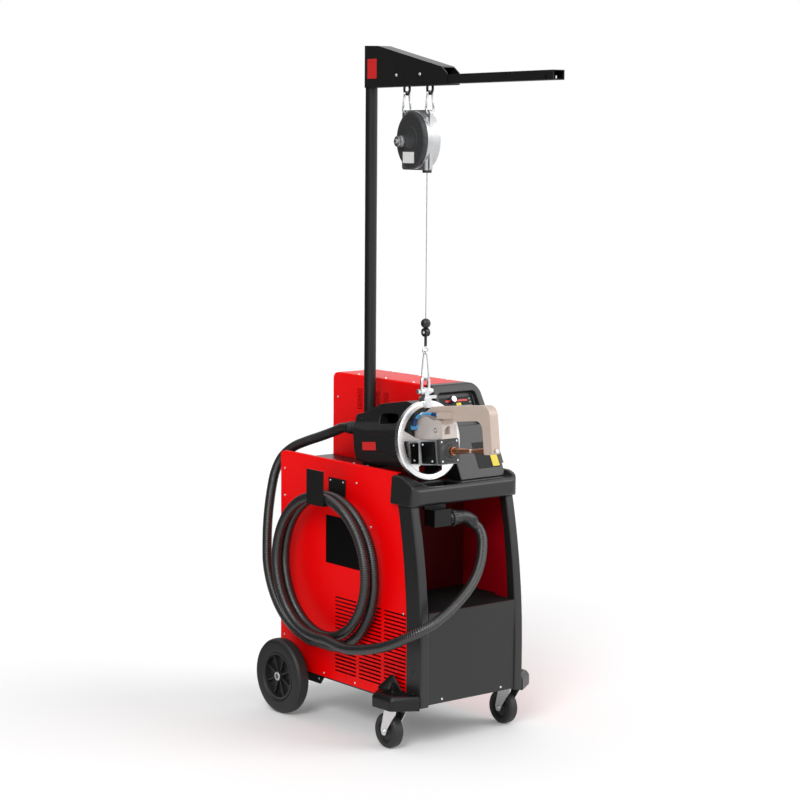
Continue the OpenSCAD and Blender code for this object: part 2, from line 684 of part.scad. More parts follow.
// Rope drum inside the case, grooved, on a shaft in the case's bore
module balancer_drum() color("#77797c") arm_frame() {
  drum_y = -rope_reach + drum_r;
  groove_r = drum_r - rope_d/2 - slide_gap;
  translate([0, drum_y, case_z + case_h/2]) rotate([0, 90, 0]) {
    rotate_extrude($fn = 72)
      polygon([[0, -11], [drum_r + 3, -11], [drum_r + 3, -9], [groove_r, -6], [groove_r, 6],
        [drum_r + 3, 9],
        [drum_r + 3, 11], [0, 11]]);
    translate([0, 0, -case_t/2 - 4]) cylinder(d = 12, h = case_t + 4);
  }
}

// Rubber buffer under the rope guide
module rope_buffer() color("#151515") arm_frame()
  translate([0, -rope_reach, case_z - 7]) difference() {
    cylinder(d = 26, h = 7);
    translate([0, 0, -1]) cylinder(d = 8, h = 9);
  }

// Wire rope from the drum's groove down through the guide to the stop ball
stop_z = 1197;
stop_d = 28;
module balancer_rope() color("#b5b7ba") arm_frame()
  translate([0, -rope_reach, stop_z + stop_d/2 - 1]) cylinder(d = rope_d,
    h = case_z + case_h/2 - stop_z - stop_d/2 + 1, $fn = 16);

// ---------------------------------------------------------------- suspension

// Stop ball, clamp ring and thimble rod at the rope's lower end
link_eye_z = stop_z - 68;
module rope_stop() color("#141415") hang_frame() {
  difference() {
    union() {
      translate([0, 0, stop_z]) sphere(d = stop_d);
      translate([0, 0, stop_z - 25]) rotate([0, 90, 0]) translate([0, 0, -7]) cylinder(d = 24, h = 14);
      translate([0, 0, link_eye_z]) cylinder(d = 8, h = 52);
    }
    translate([0, 0, stop_z + stop_d/2 - 4]) cylinder(d = rope_d + 0.4, h = 6);
    bar_x(-20, 20, 0, stop_z - 25, 7);
  }
  translate([0, 0, link_eye_z - 8]) rotate([90, 0, 0])
    rotate_extrude() translate([9, 0]) circle(d = 5, $fn = 16);
}

// Wire link between the rope's eye and the shackle
shackle_top = 1052;
gun_link_wire = 5;
module gun_carabiner() color("#c3c5c7") hang_frame()
  translate([0, 0, link_eye_z - 18.8]) pear_link(7, 15, link_eye_z - shackle_top - 20.6, gun_link_wire);

// U-shackle with its cross bolt, the clamp block on the ring and its locking lever
module gun_shackle() color("#d2d4d6") hang_frame() {
  ring_top = ring_z + ring_d/2*cos(gun_pitch);
  bolt = ring_top + 26;
  leg = 13;
  difference() {
    union() {
      translate([0, 0, shackle_top - 6 - leg]) rotate([0, -90, 90]) rotate([0, 0, -90])
        rotate_extrude(angle = 180) translate([leg, 0]) circle(d = 9, $fn = 20);
      for (s = [-1, 1]) {
        bar([s*leg, 0, bolt], [s*leg, 0, shackle_top - 6 - leg], 9, $fn = 20);
        bar_x(s*leg - 5, s*leg + 5, 0, bolt, 18);
      }
    }
    bar_x(-30, 30, 0, bolt, 8.4);
  }
  bar_x(-24, 22, 0, bolt, 8);
  bar_x(-28, -18 - slide_gap, 0, bolt, 13, $fn = 6);
  bar_x(18 + slide_gap, 26, 0, bolt, 13, $fn = 6);
  difference() {
    union() {
      block([-7.5, -9, ring_top + 1], [7.5, 9, bolt + 9]);
      block([-13, -13, ring_top - 20], [13, 13, ring_top + 9]);
      block([7, -5, ring_top + 4], [38, 5, ring_top + 12]);
    }
    bar_x(-10, 10, 0, bolt, 8.4);
    translate([0, -ring_d/2*sin(gun_pitch), ring_z]) rotate([-gun_pitch, 0, 0]) rotate([90, 0, 0])
      rotate_extrude($fn = 96) polygon(ring_outline(slide_gap));
  }
}

// ---------------------------------------------------------------- gun
// In the gun's own frame the electrodes point along -Y, and the ring's centre is the origin.

function ring_outline(grow) =
  let (a = ring_d/2 - ring_band - grow, b = ring_d/2 + grow, t = 9 + grow)
  outline([[a, -t, 2], [b, -t, 4], [b, t, 4], [a, t, 2]], 3);

// Round carrying ring with a groove in each face, and two cast webs that hold the gun in it
module support_ring() color("#c9cbcd") gun_frame() {
  inner = ring_d/2 - ring_band;
  difference() {
    rotate([90, 0, 0]) rotate_extrude($fn = 96) polygon(ring_outline(0));
    for (s = [-1, 1])
      translate([0, s*9, 0]) rotate([90, 0, 0]) rotate_extrude($fn = 96)
        translate([ring_d/2 - 5, 0]) square([2.4, 2.4], center = true);
  }
  both_sides() difference() {
    intersection() {
      front_prism(-5, 5) polygon(outline([[-120, 48, 0], [-88, 34, 6], [-44, 9, 8], [-box_x(), 6, 0],
        [-box_x(), -box_drop(), 0], [-42, -70, 4], [-42, -120, 0], [-120, -120, 0]]));
      rotate([90, 0, 0]) cylinder(r = inner + 1, h = 12, center = true, $fn = 96);
    }
    intersection() {
      front_prism(-6, 6) polygon([[-100, 4], [-73, 4], [-65, -58], [-100, -58]]);
      rotate([90, 0, 0]) cylinder(r = inner - 6, h = 14, center = true, $fn = 96);
    }
  }
}

// Casing: side outline with the handle, narrowed in plan and in section, in two halves
grip_y = 93;
grip_z = 50;
trigger_y = grip_y + grip_len/2 - 12;
module shell_groove(y0, z0, y1, z1) {
  for (s = [-1, 1])
    side_prism(s*shell_w/2 - 2.5, s*shell_w/2 + 2.5)
      polygon(outline([[y0, z0 + 3, 2], [150, z1 + 3, 60], [y1, z1 + 3, 2], [y1, z1 - 2, 2],
        [150, z1 - 2, 60],
        [y0, z0 - 3, 2]]));
}
module shell_blank() {
  half = shell_w/2;
  rear = shell_rear;
  low = -78;
  front = box_rear() + 0.5;
  difference() {
    intersection() {
      side_prism(-half, half)
        polygon(outline([[front, -70, 6], [64, low, 20], [rear - 16, -54, 14], [rear, -10, 30],
          [rear, 79, 12],
          [236, 86, 26], [180, 107, 40], [60, 113, 20], [front, 103, 14]]));
      plan_prism(-90, 140)
        polygon(outline([[-half + 8, front, 4], [half - 8, front, 4], [half, 60, 20], [half, 190, 40],
          [half - 9, rear, 12],
          [9 - half, rear, 12], [-half, 190, 40], [-half, 60, 20]]));
      front_prism(0, rear + 10)
        polygon(outline([[-half + 10, low, 12], [half - 10, low, 12], [half, low + 22, 10],
          [half, 30, 16], [30, 58, 16],
          [22, 84, 10], [20, 118, 9], [-20, 118, 9], [-22, 84, 10], [-30, 58, 16], [-half, 30, 16],
            [-half, low + 22, 10]]));
    }
    side_prism(-half, half) polygon(box_outline(grip_y, grip_z, grip_y + grip_len, grip_z + grip_h, 11));
    shell_groove(62, 10, rear - 40, 22);
    shell_groove(62, -52, rear - 40, -30);
    translate([0, trigger_y, grip_z + grip_h - 1]) plan_prism(0, 13)
      polygon(box_outline(-7.5, -14.5, 7.5, 14.5, 3));
    translate([0, rear + 1, cuff_z]) rotate([90, 0, 0]) cylinder(d = 30.4, h = 21);
  }
}
module left_gun_shell() color("#28292b") gun_frame() intersection() {
  shell_blank();
  block([-100, 0, -120], [0, 400, 160]);
}
module right_gun_shell() color("#28292b") gun_frame() intersection() {
  shell_blank();
  block([0, 0, -120], [100, 400, 160]);
}

// Push trigger on the underside of the handle, let into a pocket
module gun_trigger() color("#b01217") gun_frame()
  translate([0, trigger_y, 0]) plan_prism(grip_z + grip_h - 5, grip_z + grip_h + 7)
    polygon(box_outline(-7.5 + slide_gap, -14.5 + slide_gap, 7.5 - slide_gap, 14.5 - slide_gap, 2.7));

// Screws of the casing, the flange, the terminal plates and the head
module gun_screws() color("#c9cbce") gun_frame() {
  for (p = [[262, 66], [228, 70], [190, 94], [120, 98]])
    translate([-casing_side(p[1]), p[0], p[1]]) rotate([0, casing_lean(p[1]) - 90, 0]) screw(6);
  for (x = [-27, 27], z = [-27, 27])
    translate([x, -flange_y, electrode_z + z]) rotate([90, 0, 0]) screw(7);
  for (p = [[-24, -9], [-62, -56], [16, -11], [16, -52]])
    translate([-box_x() - 3, p[0], p[1]]) rotate([0, -90, 0]) screw(7);
}
function casing_side(z) = z > 84 ? 20 + 2*(118 - z)/34 : 22 + 8*(84 - z)/26;
function casing_lean(z) = z > 84 ? atan(2/34) : atan(8/26);

// Places of the transformer's frame box, its flange and the electrodes
electrode_z = -30;
flange_y = 94;
flange_t = 13;
function box_x() = 35;
function box_rear() = 23;
function box_drop() = 67;

// Cast head over the transformer: slotted for the root of the C-arm, with a window in its front
module gun_head() color("#cfc4b8") gun_frame() {
  half = 27;
  difference() {
    side_prism(-half, half)
      polygon(outline([[-98, 5, 0], [box_rear(), 5, 0], [box_rear(), 63, 12], [-26, 70, 14],
        [-60, 58, 4], [-88, 58, 4],
        [-98, 46, 3]]));
    block([-carm_t/2 - slide_gap, -110, arm_seat_z], [carm_t/2 + slide_gap, 12, 90]);
    front_prism(-99, -84) polygon(outline([[-17, 17, 2], [3, 17, 2], [3, arm_seat_z - 6, 2],
      [-5, arm_seat_z - 6, 3], [-17, 30, 2]]));
    bar_x(-half - 1, -half + 5, -70, 30, 15);
  }
  bar_x(-half, -half + 5, -70, 30, 9, $fn = 6);
}

// Square light frame round the transformer, with the bore that the electrode's rod slides through
module transformer_box() color("#b9babb") gun_frame() difference() {
  side_prism(-box_x(), box_x()) polygon(box_outline(flange_t - flange_y, -box_drop(), box_rear(), 5, 0.5));
  bar_y(-flange_y, box_rear() + 1, 0, electrode_z, rod_d + 3);
}

// Two black terminal plates on the box's left side
module terminal_plates() color("#101011") gun_frame() {
  side_prism(-box_x() - 3, -box_x()) polygon(box_outline(-72, -63, -15, -1, 3));
  side_prism(-box_x() - 3, -box_x()) polygon(box_outline(5.5, -64, 22, -4, 3));
}

// Square cylinder flange with a round stepped boss that guides the moving electrode
module cylinder_flange() color("#55575a") gun_frame() {
  translate([0, -flange_y, electrode_z]) rotate([90, 0, 0]) difference() {
    union() {
      plan_prism(-flange_t, 0) polygon(box_outline(-box_x(), -35, box_x(), 35, 6));
      cylinder(d1 = 60, d2 = 52, h = 5);
      translate([0, 0, 5]) cylinder(d1 = 40, d2 = 34, h = 7);
    }
    translate([0, 0, -20]) cylinder(d = rod_d + 2*turn_gap, h = 50);
  }
}

// Curved C-arm of constant section with a rounded outer corner, on its seat in the head
arm_seat_z = 46;
pad_y = -76;
module c_arm() color("#c8b5a6") gun_frame() {
  reach = carm_reach;
  difference() {
    union() {
      side_prism(-carm_t/2, carm_t/2)
        polygon(outline([[10, 66, 4], [-46, 95, 8], [-reach, 95, 30], [-reach, -39, 5],
          [-reach + 34, -39, 5],
          [-reach + 34, 54, 26], [-108, 52, 10], [-98, arm_seat_z, 3], [10, arm_seat_z, 0]], 8));
      side_prism(-carm_t/2 - 9, 0) polygon(box_outline(-137, 61, pad_y, 79, 3));
    }
    bar_y(-reach - 1, -reach + 35, 0, electrode_z, 10.4);
  }
}

// Copper electrodes: a stem fixed through the arm's leg, and the sliding one on the same axis
tip_y = 188;
module electrode_tip() { rotate([90, 0, 0]) cylinder(d1 = electrode_d, d2 = electrode_d - 4, h = 5); }
module fixed_electrode() color("#b4623a") gun_frame() translate([0, 0, electrode_z]) {
  root = -carm_reach + 34 + slide_gap;
  bar_y(-carm_reach - 3, root, 0, 0, 10);
  translate([0, root, 0]) rotate([-90, 0, 0]) cylinder(d1 = 19, d2 = electrode_d, h = -tip_y - 5 - root);
  translate([0, -tip_y - 5, 0]) mirror([0, 1, 0]) electrode_tip();
}
module moving_electrode() color("#b4623a") gun_frame() translate([0, 0, electrode_z]) {
  tip = -tip_y + tip_gap + 5;
  bar_y(-113, box_rear() - 3 - stroke, 0, 0, rod_d);
  translate([0, -113, 0]) rotate([90, 0, 0]) cylinder(d1 = 19, d2 = electrode_d, h = -113 - tip);
  translate([0, tip, 0]) electrode_tip();
}

// Blue air tube, bent from a fitting on the head's side up to the C-arm
function bezier(a, b, c, d, t) = a*pow(1 - t, 3) + b*3*t*pow(1 - t, 2) + c*3*t*t*(1 - t) + d*pow(t, 3);
module air_tube() color("#2f7fc4") gun_frame() {
  fitting = [-38, 12, 40];
  end = [-carm_t/2 - 4.8, pad_y + 0.9, 71];
  line = [for (i = [0:12]) bezier(fitting, fitting + [-3, -14, 44], end + [-8, 40, 10], end, i/12)];
  swept_tube(line, 8, 10, [1, 0, 0]);
  bar_x(-43, -27, fitting.y, fitting.z, 15, $fn = 24);
}

// Tapered rubber cuff that leads the hose out of the casing
cuff_end = 362;
cuff_z = 38;
module hose_cuff() color("#1c1d1e") gun_frame() translate([0, shell_rear - 20 + slide_gap, cuff_z])
  rotate([-90, 0, 0]) {
  cylinder(d = 30, h = 20);
  translate([0, 0, 20]) cylinder(d1 = 42, d2 = 37, h = cuff_end - shell_rear - slide_gap - 10);
  translate([0, 0, cuff_end - shell_rear + 10 - slide_gap]) cylinder(d = 36, h = 10);
}

// ---------------------------------------------------------------- hose

// Hook for the coil: a sheet bent to a back plate, a shelf and an upturned outer plate
coil_y = 290;
coil_z = 476;
coil_pitch = hose_d + 1;
hook_out = 80;
hook_t = 2.5;
function shelf_z() = coil_z + sqrt(pow(coil_r - hose_d/2, 2) - pow(hook_w/2, 2)) - slide_gap - 0.4;
module hose_hook() color("#17181a") place() {
  z = shelf_z();
  x = side_x;
  front_prism(coil_y - hook_w/2, coil_y + hook_w/2)
    polygon([[-x, z - 14], [-x, z + 68], [-x - hook_t, z + 68], [-x - hook_t, z], [-x - hook_out, z],
      [-x - hook_out, z + 100], [-x - hook_out - hook_t, z + 100], [-x - hook_out - hook_t, z - hook_t],
      [-x - hook_t, z - hook_t], [-x - hook_t, z - 14]]);
}

// Rear stretch, hand-chosen points from the gun's cuff round the cabinet's rear corner
rear_route = [[-98, 423, 845], [-110, 472, 826], [-126, 519, 808], [-142, 563, 787], [-157, 598, 755],
  [-171, 615, 710], [-187, 614, 653], [-204, 606, 579], [-216, 595, 507], [-220, 586, 431],
    [-215, 567, 360],
  [-209, 532, 302], [-205, 480, 262]];
function cuff_point(back) =
  let (y = back, z = cuff_z)
  [rope_x, rope_y - ring_d/2*sin(gun_pitch) + y*cos(gun_pitch) + z*sin(gun_pitch),
   ring_z - y*sin(gun_pitch) + z*cos(gun_pitch)];

// Coil: two turns that spiral in to the coil's radius and step outwards on the hook
coil_from = -77;
coil_to = -810;
rings_per_turn = 24;
function coil_radius(a) = coil_r + (a > -180 ? 44*pow((a + 180)/103, 1.2) : 0);
function coil_point(a) = [-side_x - hose_d/2 - 1 - coil_pitch*(coil_from - a)/360,
  coil_y + coil_radius(a)*cos(a), coil_z + coil_radius(a)*sin(a)];
coil_steps = round((coil_from - coil_to)/360*rings_per_turn);
coil_bend = [for (i = [0:coil_steps]) coil_point(coil_from + (coil_to - coil_from)*i/coil_steps)];
coil_start = coil_bend[0] + hose_d*unit(coil_bend[0] - coil_bend[1]);
coil_end = coil_bend[coil_steps] + hose_d*[0, -1, 0];
coil_line = concat([coil_start], coil_bend, [coil_end]);
coil_gaps = [for (i = [0:coil_steps - 14], k = [i + 12:coil_steps])
  norm(coil_bend[i] - coil_bend[k]) - hose_d];
echo("least gap between the coil's turns", min(coil_gaps));

// Front stretch, hand-chosen points from the coil round the left column to the plug
front_route = [[-262, 146, 264], [-262, 67, 275], [-261, -15, 296], [-258, -66, 315], [-248, -111, 338],
  [-226, -146, 360], [-190, -159, 378], [-146, -158, 399], [-99, -150, 423], [-53, -141, 451],
    [-13, -131, 486],
  [15, -119, 524], [31, -108, 562], [38, -97, 592]];
elbow = [4, -70, 650];
outlet = unit([26, -14, -30]);
elbow_len = 34;

module hose_rear() color("#1e1f20") place()
  swept_tube(concat([cuff_point(cuff_end + 0.05), cuff_point(cuff_end + hose_d)], rear_route,
    [2*coil_start - coil_bend[0], coil_start]), hose_d, 8, [1, 0, 0]);
module hose_coil() color("#1e1f20") place() swept_tube(coil_line, hose_d, 6, [1, 0, 0]);
module hose_front() color("#1e1f20") place()
  swept_tube(concat([coil_end, coil_end - [0, hose_d, 0]], front_route,
    [elbow + (elbow_len + 16)*outlet, elbow + elbow_len*outlet]), hose_d, 8, [1, 0, 0]);

// Elbow plug at the hose's end and the socket block that hangs under the tray
plug_face = -60;
module hose_plug() color("#141516") place() {
  bar_x(plug_face, elbow.x, elbow.y, elbow.z, 42);
  bar_x(plug_face + 4, plug_face + 18, elbow.y, elbow.z, 47);
  translate(elbow) sphere(d = 42);
  bar(elbow, elbow + elbow_len*outlet, 35);
}
module hose_socket() color("#1a1b1c") place() {
  block([plug_face - 72, elbow.y - 23, elbow.z - 16], [plug_face - 12, elbow.y + 23, elbow.z + 32]);
  block([plug_face - 80, elbow.y + 12, elbow.z + 29], [plug_face - 4, elbow.y + 23, tray_z]);
  bar_x(plug_face - 12, plug_face, elbow.y, elbow.z, 38);
  bar_x(plug_face - 9, plug_face - 3, elbow.y, elbow.z, 44);
}

// ---------------------------------------------------------------- wheels

// Steel rod through both hangers, with a cap over each end
module rear_axle() color("#3a3c3f") place() {
  reach = rear_wheel_x + rear_tyre_w/2 - 4;
  bar_x(-reach, reach, rear_axle_y, rear_wheel_d/2, rear_axle_d);
  for (s = [-1, 1])
    bar_x(s*(reach + 1) - 1, s*(reach + 1) + 1, rear_axle_y, rear_wheel_d/2, rear_axle_d + 5);
}

rim_r = 70;
module rear_tyre(s) {
  r = rear_wheel_d/2;
  w = rear_tyre_w/2;
  translate([s*rear_wheel_x, rear_axle_y, r]) rotate([0, 90, 0]) rotate_extrude($fn = 96)
    polygon(outline([[rim_r + 0.2, -w + 5, 2], [rim_r + 12, -w + 1, 6], [r - 14, -w, 8], [r, -w + 9, 8],
      [r, w - 9, 8],
      [r - 14, w, 8], [rim_r + 12, w - 1, 6], [rim_r + 0.2, w - 5, 2]], 4));
}
module rear_hub(s) {
  w = rear_tyre_w/2;
  boss = rear_axle_d/2 + 5;
  translate([s*rear_wheel_x, rear_axle_y, rear_wheel_d/2]) rotate([0, 90, 0]) {
    rotate_extrude($fn = 96)
      polygon([[rim_r - 6, -w + 4], [rim_r, -w + 4], [rim_r, w - 4], [rim_r - 6, w - 4], [rim_r - 8, 3],
        [rim_r - 8, -3]]);
    difference() {
      union() {
        cylinder(r = rim_r - 6, h = 4, center = true, $fn = 72);
        cylinder(r = boss, h = rear_tyre_w - 10, center = true);
        for (i = [0:spokes - 1])
          rotate([0, 0, (i + 0.5)*360/spokes])
            block([boss - 2, -1.8, -w + 9], [rim_r - 6, 1.8, w - 9]);
      }
      cylinder(d = rear_axle_d + 2*turn_gap, h = 2*rear_tyre_w, center = true);
    }
  }
}
module left_tyre() color("#2a2b2c") place() rear_tyre(-1);
module right_tyre() color("#2a2b2c") place() rear_tyre(1);
module left_hub() color("#17181a") place() rear_hub(-1);
module right_hub() color("#17181a") place() rear_hub(1);

// Swivel fork: stem, round crown and two swept legs with the wheel's axle
module caster_fork(s) {
  r = caster_d/2;
  crown_z = floor_z - slide_gap;
  gap = caster_w/2 + 2;
  translate([s*caster_track/2, -caster_trail, 0]) {
    translate([0, 0, crown_z - 8]) cylinder(d = 12, h = 8 + floor_t + slide_gap - 0.2);
    translate([0, 0, crown_z - 6]) cylinder(d = 46, h = 6);
    block([-gap - 3, -22, crown_z - 9], [gap + 3, 22, crown_z - 6]);
    for (k = [-1, 1])
      side_prism(k > 0 ? gap : -gap - 3, k > 0 ? gap + 3 : -gap)
        polygon(outline([[-24, crown_z - 6, 2], [24, crown_z - 6, 4], [caster_trail + 12, r + 4, 10],
          [caster_trail + 8, r - 12, 8], [caster_trail - 8, r - 12, 8], [caster_trail - 16, r + 8, 14],
            [-24, crown_z - 16, 4]]));
    bar_x(-gap - 6, gap + 6, caster_trail, r, 10);
  }
}
module caster_wheel(s) {
  r = caster_d/2;
  w = caster_w/2;
  translate([s*caster_track/2, 0, r]) rotate([0, 90, 0]) rotate_extrude($fn = 72)
    polygon(outline([[5 + turn_gap, -w, 0], [12, -w, 1], [14, -w + 6, 2], [r - 18, -w + 6, 2],
      [r - 14, -w + 2, 2], [r - 6, -w, 4],
      [r, -w + 7, 6], [r, w - 7, 6], [r - 6, w, 4], [r - 14, w - 2, 2], [r - 18, w - 6, 2],
        [14, w - 6, 2], [12, w, 1],
      [5 + turn_gap, w, 0]], 3));
}
module left_caster_fork() color("#c4c6c8") place() caster_fork(-1);
module right_caster_fork() color("#c4c6c8") place() caster_fork(1);
module left_caster_wheel() color("#2b2c2d") place() caster_wheel(-1);
module right_caster_wheel() color("#2b2c2d") place() caster_wheel(1);

// ---------------------------------------------------------------- fasteners

// Screws of the side panels, columns, front panel, hook, deck cover and bracket, as loose solids
module cart_screws() color("#c9a9a6") {
  place() {
    side = [[551, 728], [551, 646], [553, 220], [352, 140], [202, 140], [199, 727], [36, 729],
      [131, 609], [-19, 383]];
    both_sides() for (p = side) translate([-side_x, p[0], p[1]]) rotate([0, -90, 0]) screw();
    both_sides() for (p = [[-35, 648], [-59, 507]]) translate([-column_x, p[0], p[1]])
      rotate([0, -90, 0]) screw();
    for (s = [-1, 1]) {
      translate([s*110, -front_reach + 5, base_z + 16]) rotate([90, 0, 0]) screw();
      translate([-side_x - hook_t, coil_y + s*30, shelf_z() + 60]) rotate([0, -90, 0]) screw();
    }
    for (y = [200, 330, 460], x = [upper_x + 12, side_x - 28]) translate([x, y, upper_top]) screw();
    translate([upper_x, 548, 930]) rotate([0, -90, 0]) screw();
    translate([upper_x, 548, 830]) rotate([0, -90, 0]) screw();
    for (x = [-32, 32], y = [-32, 32]) translate([mast_x + x, mast_y + y, deck_z + 5]) screw(9);
  }
  arm_frame() {
    outer = mast_d/2 + 0.2 + bracket_t;
    for (y = bolt_places()) {
      bar_x(-outer, outer, -y, bolt_z(), 6);
      translate([-outer, -y, bolt_z()]) rotate([0, -90, 0]) screw(10);
      translate([outer, -y, bolt_z()]) rotate([0, 90, 0]) screw(10);
    }
  }
}

chassis();
left_side_panel();
right_side_panel();
back_panel();
bay_liner();
front_lower_panel();
left_column();
right_column();
left_foot();
right_foot();
front_tray();
control_housing();
upper_cabinet();
control_board();
mast();
mast_socket();
arm_bracket();
balancer_hangers();
balancer_case();
balancer_cover();
rope_buffer();
hose_hook();
hose_socket();
rear_axle();
cart_screws();
hose_rear();
hose_coil();
hose_front();
hose_plug();
hose_cuff();
arm_tube();
balancer_drum();
tension_knob();
balancer_rope();
control_knob();
main_switch();
left_tyre();
left_hub();
right_tyre();
right_hub();
left_caster_fork();
left_caster_wheel();
right_caster_fork();
right_caster_wheel();
rope_stop();
gun_carabiner();
gun_shackle();
support_ring();
left_gun_shell();
right_gun_shell();
gun_screws();
gun_head();
transformer_box();
terminal_plates();
cylinder_flange();
c_arm();
fixed_electrode();
moving_electrode();
air_tube();
gun_trigger();
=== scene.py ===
"""Mobile spot welding machine: wheeled cabinet, mast and arm, spring balancer, hanging C-gun and hose."""
import math

import bmesh
import bpy
import numpy as np
from mathutils import Matrix, Vector


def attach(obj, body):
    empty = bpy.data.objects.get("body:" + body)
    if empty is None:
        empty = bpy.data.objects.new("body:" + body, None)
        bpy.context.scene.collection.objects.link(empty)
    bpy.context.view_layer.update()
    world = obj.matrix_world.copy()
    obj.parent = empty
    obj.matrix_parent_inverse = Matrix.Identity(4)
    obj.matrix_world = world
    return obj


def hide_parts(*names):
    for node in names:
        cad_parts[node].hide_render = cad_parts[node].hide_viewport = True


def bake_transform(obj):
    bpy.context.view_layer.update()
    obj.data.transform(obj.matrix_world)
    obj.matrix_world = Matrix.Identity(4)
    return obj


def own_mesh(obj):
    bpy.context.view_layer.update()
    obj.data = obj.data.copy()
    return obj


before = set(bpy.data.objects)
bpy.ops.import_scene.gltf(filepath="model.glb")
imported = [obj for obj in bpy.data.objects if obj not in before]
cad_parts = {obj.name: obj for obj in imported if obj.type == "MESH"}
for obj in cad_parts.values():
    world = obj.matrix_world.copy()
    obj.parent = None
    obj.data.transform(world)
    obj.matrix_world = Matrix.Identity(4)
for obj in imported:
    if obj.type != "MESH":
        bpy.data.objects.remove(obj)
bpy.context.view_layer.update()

# ------------------------------------------------------------------ camera
# A long lens a little above the height of the gun, to the left of the machine's front. The machine
# stands slightly below the level line and leans by less than half a degree.
camera_place = (-3.9189, -4.625352, 1.7031)
focal_length = 97.02
heading, dip, tilt = (math.radians(a) for a in (38.8, 6.85, 0.426))


def linked(name, data):
    """A new object in the scene."""
    made = bpy.data.objects.new(name, data)
    bpy.context.scene.collection.objects.link(made)
    return made


ahead = Vector((math.sin(heading) * math.cos(dip), math.cos(heading) * math.cos(dip), -math.sin(dip)))
level = Vector((math.cos(heading), -math.sin(heading), 0))
plumb = level.cross(ahead)
across = level * math.cos(tilt) + plumb * math.sin(tilt)
upward = plumb * math.cos(tilt) - level * math.sin(tilt)
camera = linked("camera", bpy.data.cameras.new("camera"))
camera.data.lens = focal_length
camera.data.clip_end = 60
view = Matrix((across, upward, -ahead)).transposed().to_4x4()
camera.matrix_world = Matrix.Translation(camera_place) @ view
bpy.context.scene.camera = camera

# ------------------------------------------------------------------ hose
# Black rubber hose with a spiral-ribbed wall round the gun's water, air and power lines. It leaves
# the casing through a cuff, hangs down behind the cabinet, lies in two turns on the hook and comes
# round the left column to its plug under the tray.

# Frames in millimetres: the cabinet, counted from the caster axle, and the gun, counted from its
# carrying ring's centre, with the electrodes along -Y.
MM = Matrix.Scale(0.001, 4)
CART = Matrix.Translation((0, 0.019133, 0)) @ MM
GUN = Matrix.Translation((-0.095059, 0.005281, 0.868)) @ Matrix.Rotation(math.radians(-6.5), 4, "X") @ MM


class Socket:
    """One socket of a node tree. A sum written on it becomes Math nodes."""

    def __init__(self, web, end):
        self.web, self.end = web, end

    def __add__(self, other):
        return self.web.math("ADD", self, other)

    def __sub__(self, other):
        return self.web.math("SUBTRACT", self, other)

    def __rsub__(self, other):
        return self.web.math("SUBTRACT", other, self)

    def __mul__(self, other):
        return self.web.math("MULTIPLY", self, other)

    def __truediv__(self, other):
        return self.web.math("DIVIDE", self, other)

    def __lt__(self, other):
        return self.web.math("LESS_THAN", self, other)

    __radd__, __rmul__ = __add__, __mul__


class Web:
    """A node tree, and short ways to add nodes to it."""

    def __init__(self, tree):
        self.tree = tree

    def add(self, kind, settings=None, inputs=None, out=0):
        """One node: its settings first, then its sockets' values or links. Gives the socket out."""
        node = self.tree.nodes.new(kind)
        for name, value in (settings or {}).items():
            setattr(node, name, value)
        for name, value in (inputs or {}).items():
            if isinstance(value, Socket):
                self.tree.links.new(value.end, node.inputs[name])
            else:
                node.inputs[name].default_value = value
        return Socket(self, node.outputs[out])

    def math(self, operation, *values):
        return self.add("ShaderNodeMath", {"operation": operation}, dict(enumerate(values)))

    def along(self, vector, direction):
        """The share of vector that lies along direction."""
        inputs = {0: vector, 1: direction}
        return self.add("ShaderNodeVectorMath", {"operation": "DOT_PRODUCT"}, inputs, out="Value")

    def ranged(self, value, low, high):
        """0 where value is low or less, 1 where it is high or more."""
        return self.add("ShaderNodeMapRange", inputs={"Value": value, "From Min": low, "From Max": high})

    def ray(self, kind):
        return self.add("ShaderNodeLightPath", out=f"Is {kind} Ray")

    def named(self, name, kind="FLOAT"):
        return self.add("GeometryNodeInputNamedAttribute", {"data_type": kind}, {"Name": name})

    def stored(self, geometry, name, value):
        inputs = {"Geometry": geometry, "Name": name, "Value": value}
        return self.add("GeometryNodeStoreNamedAttribute", {"data_type": "FLOAT"}, inputs)


def grey(value):
    return (value, value, value)


def scaled(colour, share):
    """A lighter or darker shade of colour."""
    return tuple(min(1, c * share) for c in colour)


class Finish(Web):
    """The material of one kind of surface, read in the machine's own coordinates."""

    def __init__(self, name, **fixed):
        self.material = bpy.data.materials.new(name)
        self.material.use_nodes = True
        super().__init__(self.material.node_tree)
        self.tree.nodes.clear()
        self.shader = self.tree.nodes.new("ShaderNodeBsdfPrincipled")
        surface = self.tree.nodes.new("ShaderNodeOutputMaterial").inputs[0]
        self.tree.links.new(self.shader.outputs[0], surface)
        self.place = self.add("ShaderNodeTexCoord", out="Object")
        self.show(**fixed)

    def show(self, **values):
        """Sets or links the shader's sockets, each named with _ for a space."""
        for name, value in values.items():
            socket = self.shader.inputs[name.replace("_", " ")]
            if isinstance(value, Socket):
                self.tree.links.new(value.end, socket)
            else:
                socket.default_value = value
        return self.material

    def coordinate(self, axis):
        return self.add("ShaderNodeSeparateXYZ", inputs={0: self.place}, out=axis)

    def noise(self, scale, detail, stretch=None):
        place = self.place
        if stretch:
            place = self.add("ShaderNodeMapping", inputs={"Vector": place, "Scale": stretch})
        return self.add("ShaderNodeTexNoise", inputs={"Vector": place, "Scale": scale, "Detail": detail})

    def two(self, share, first, second):
        """The colour first where share is 0, and second where it is 1."""
        first, second = ((*c, 1) if isinstance(c, tuple) else c for c in (first, second))
        return self.add("ShaderNodeMix", {"data_type": "RGBA"}, {0: share, 6: first, 7: second}, out=2)

    def bump(self, height, depth):
        return self.add("ShaderNodeBump", inputs={"Height": height, "Distance": depth})


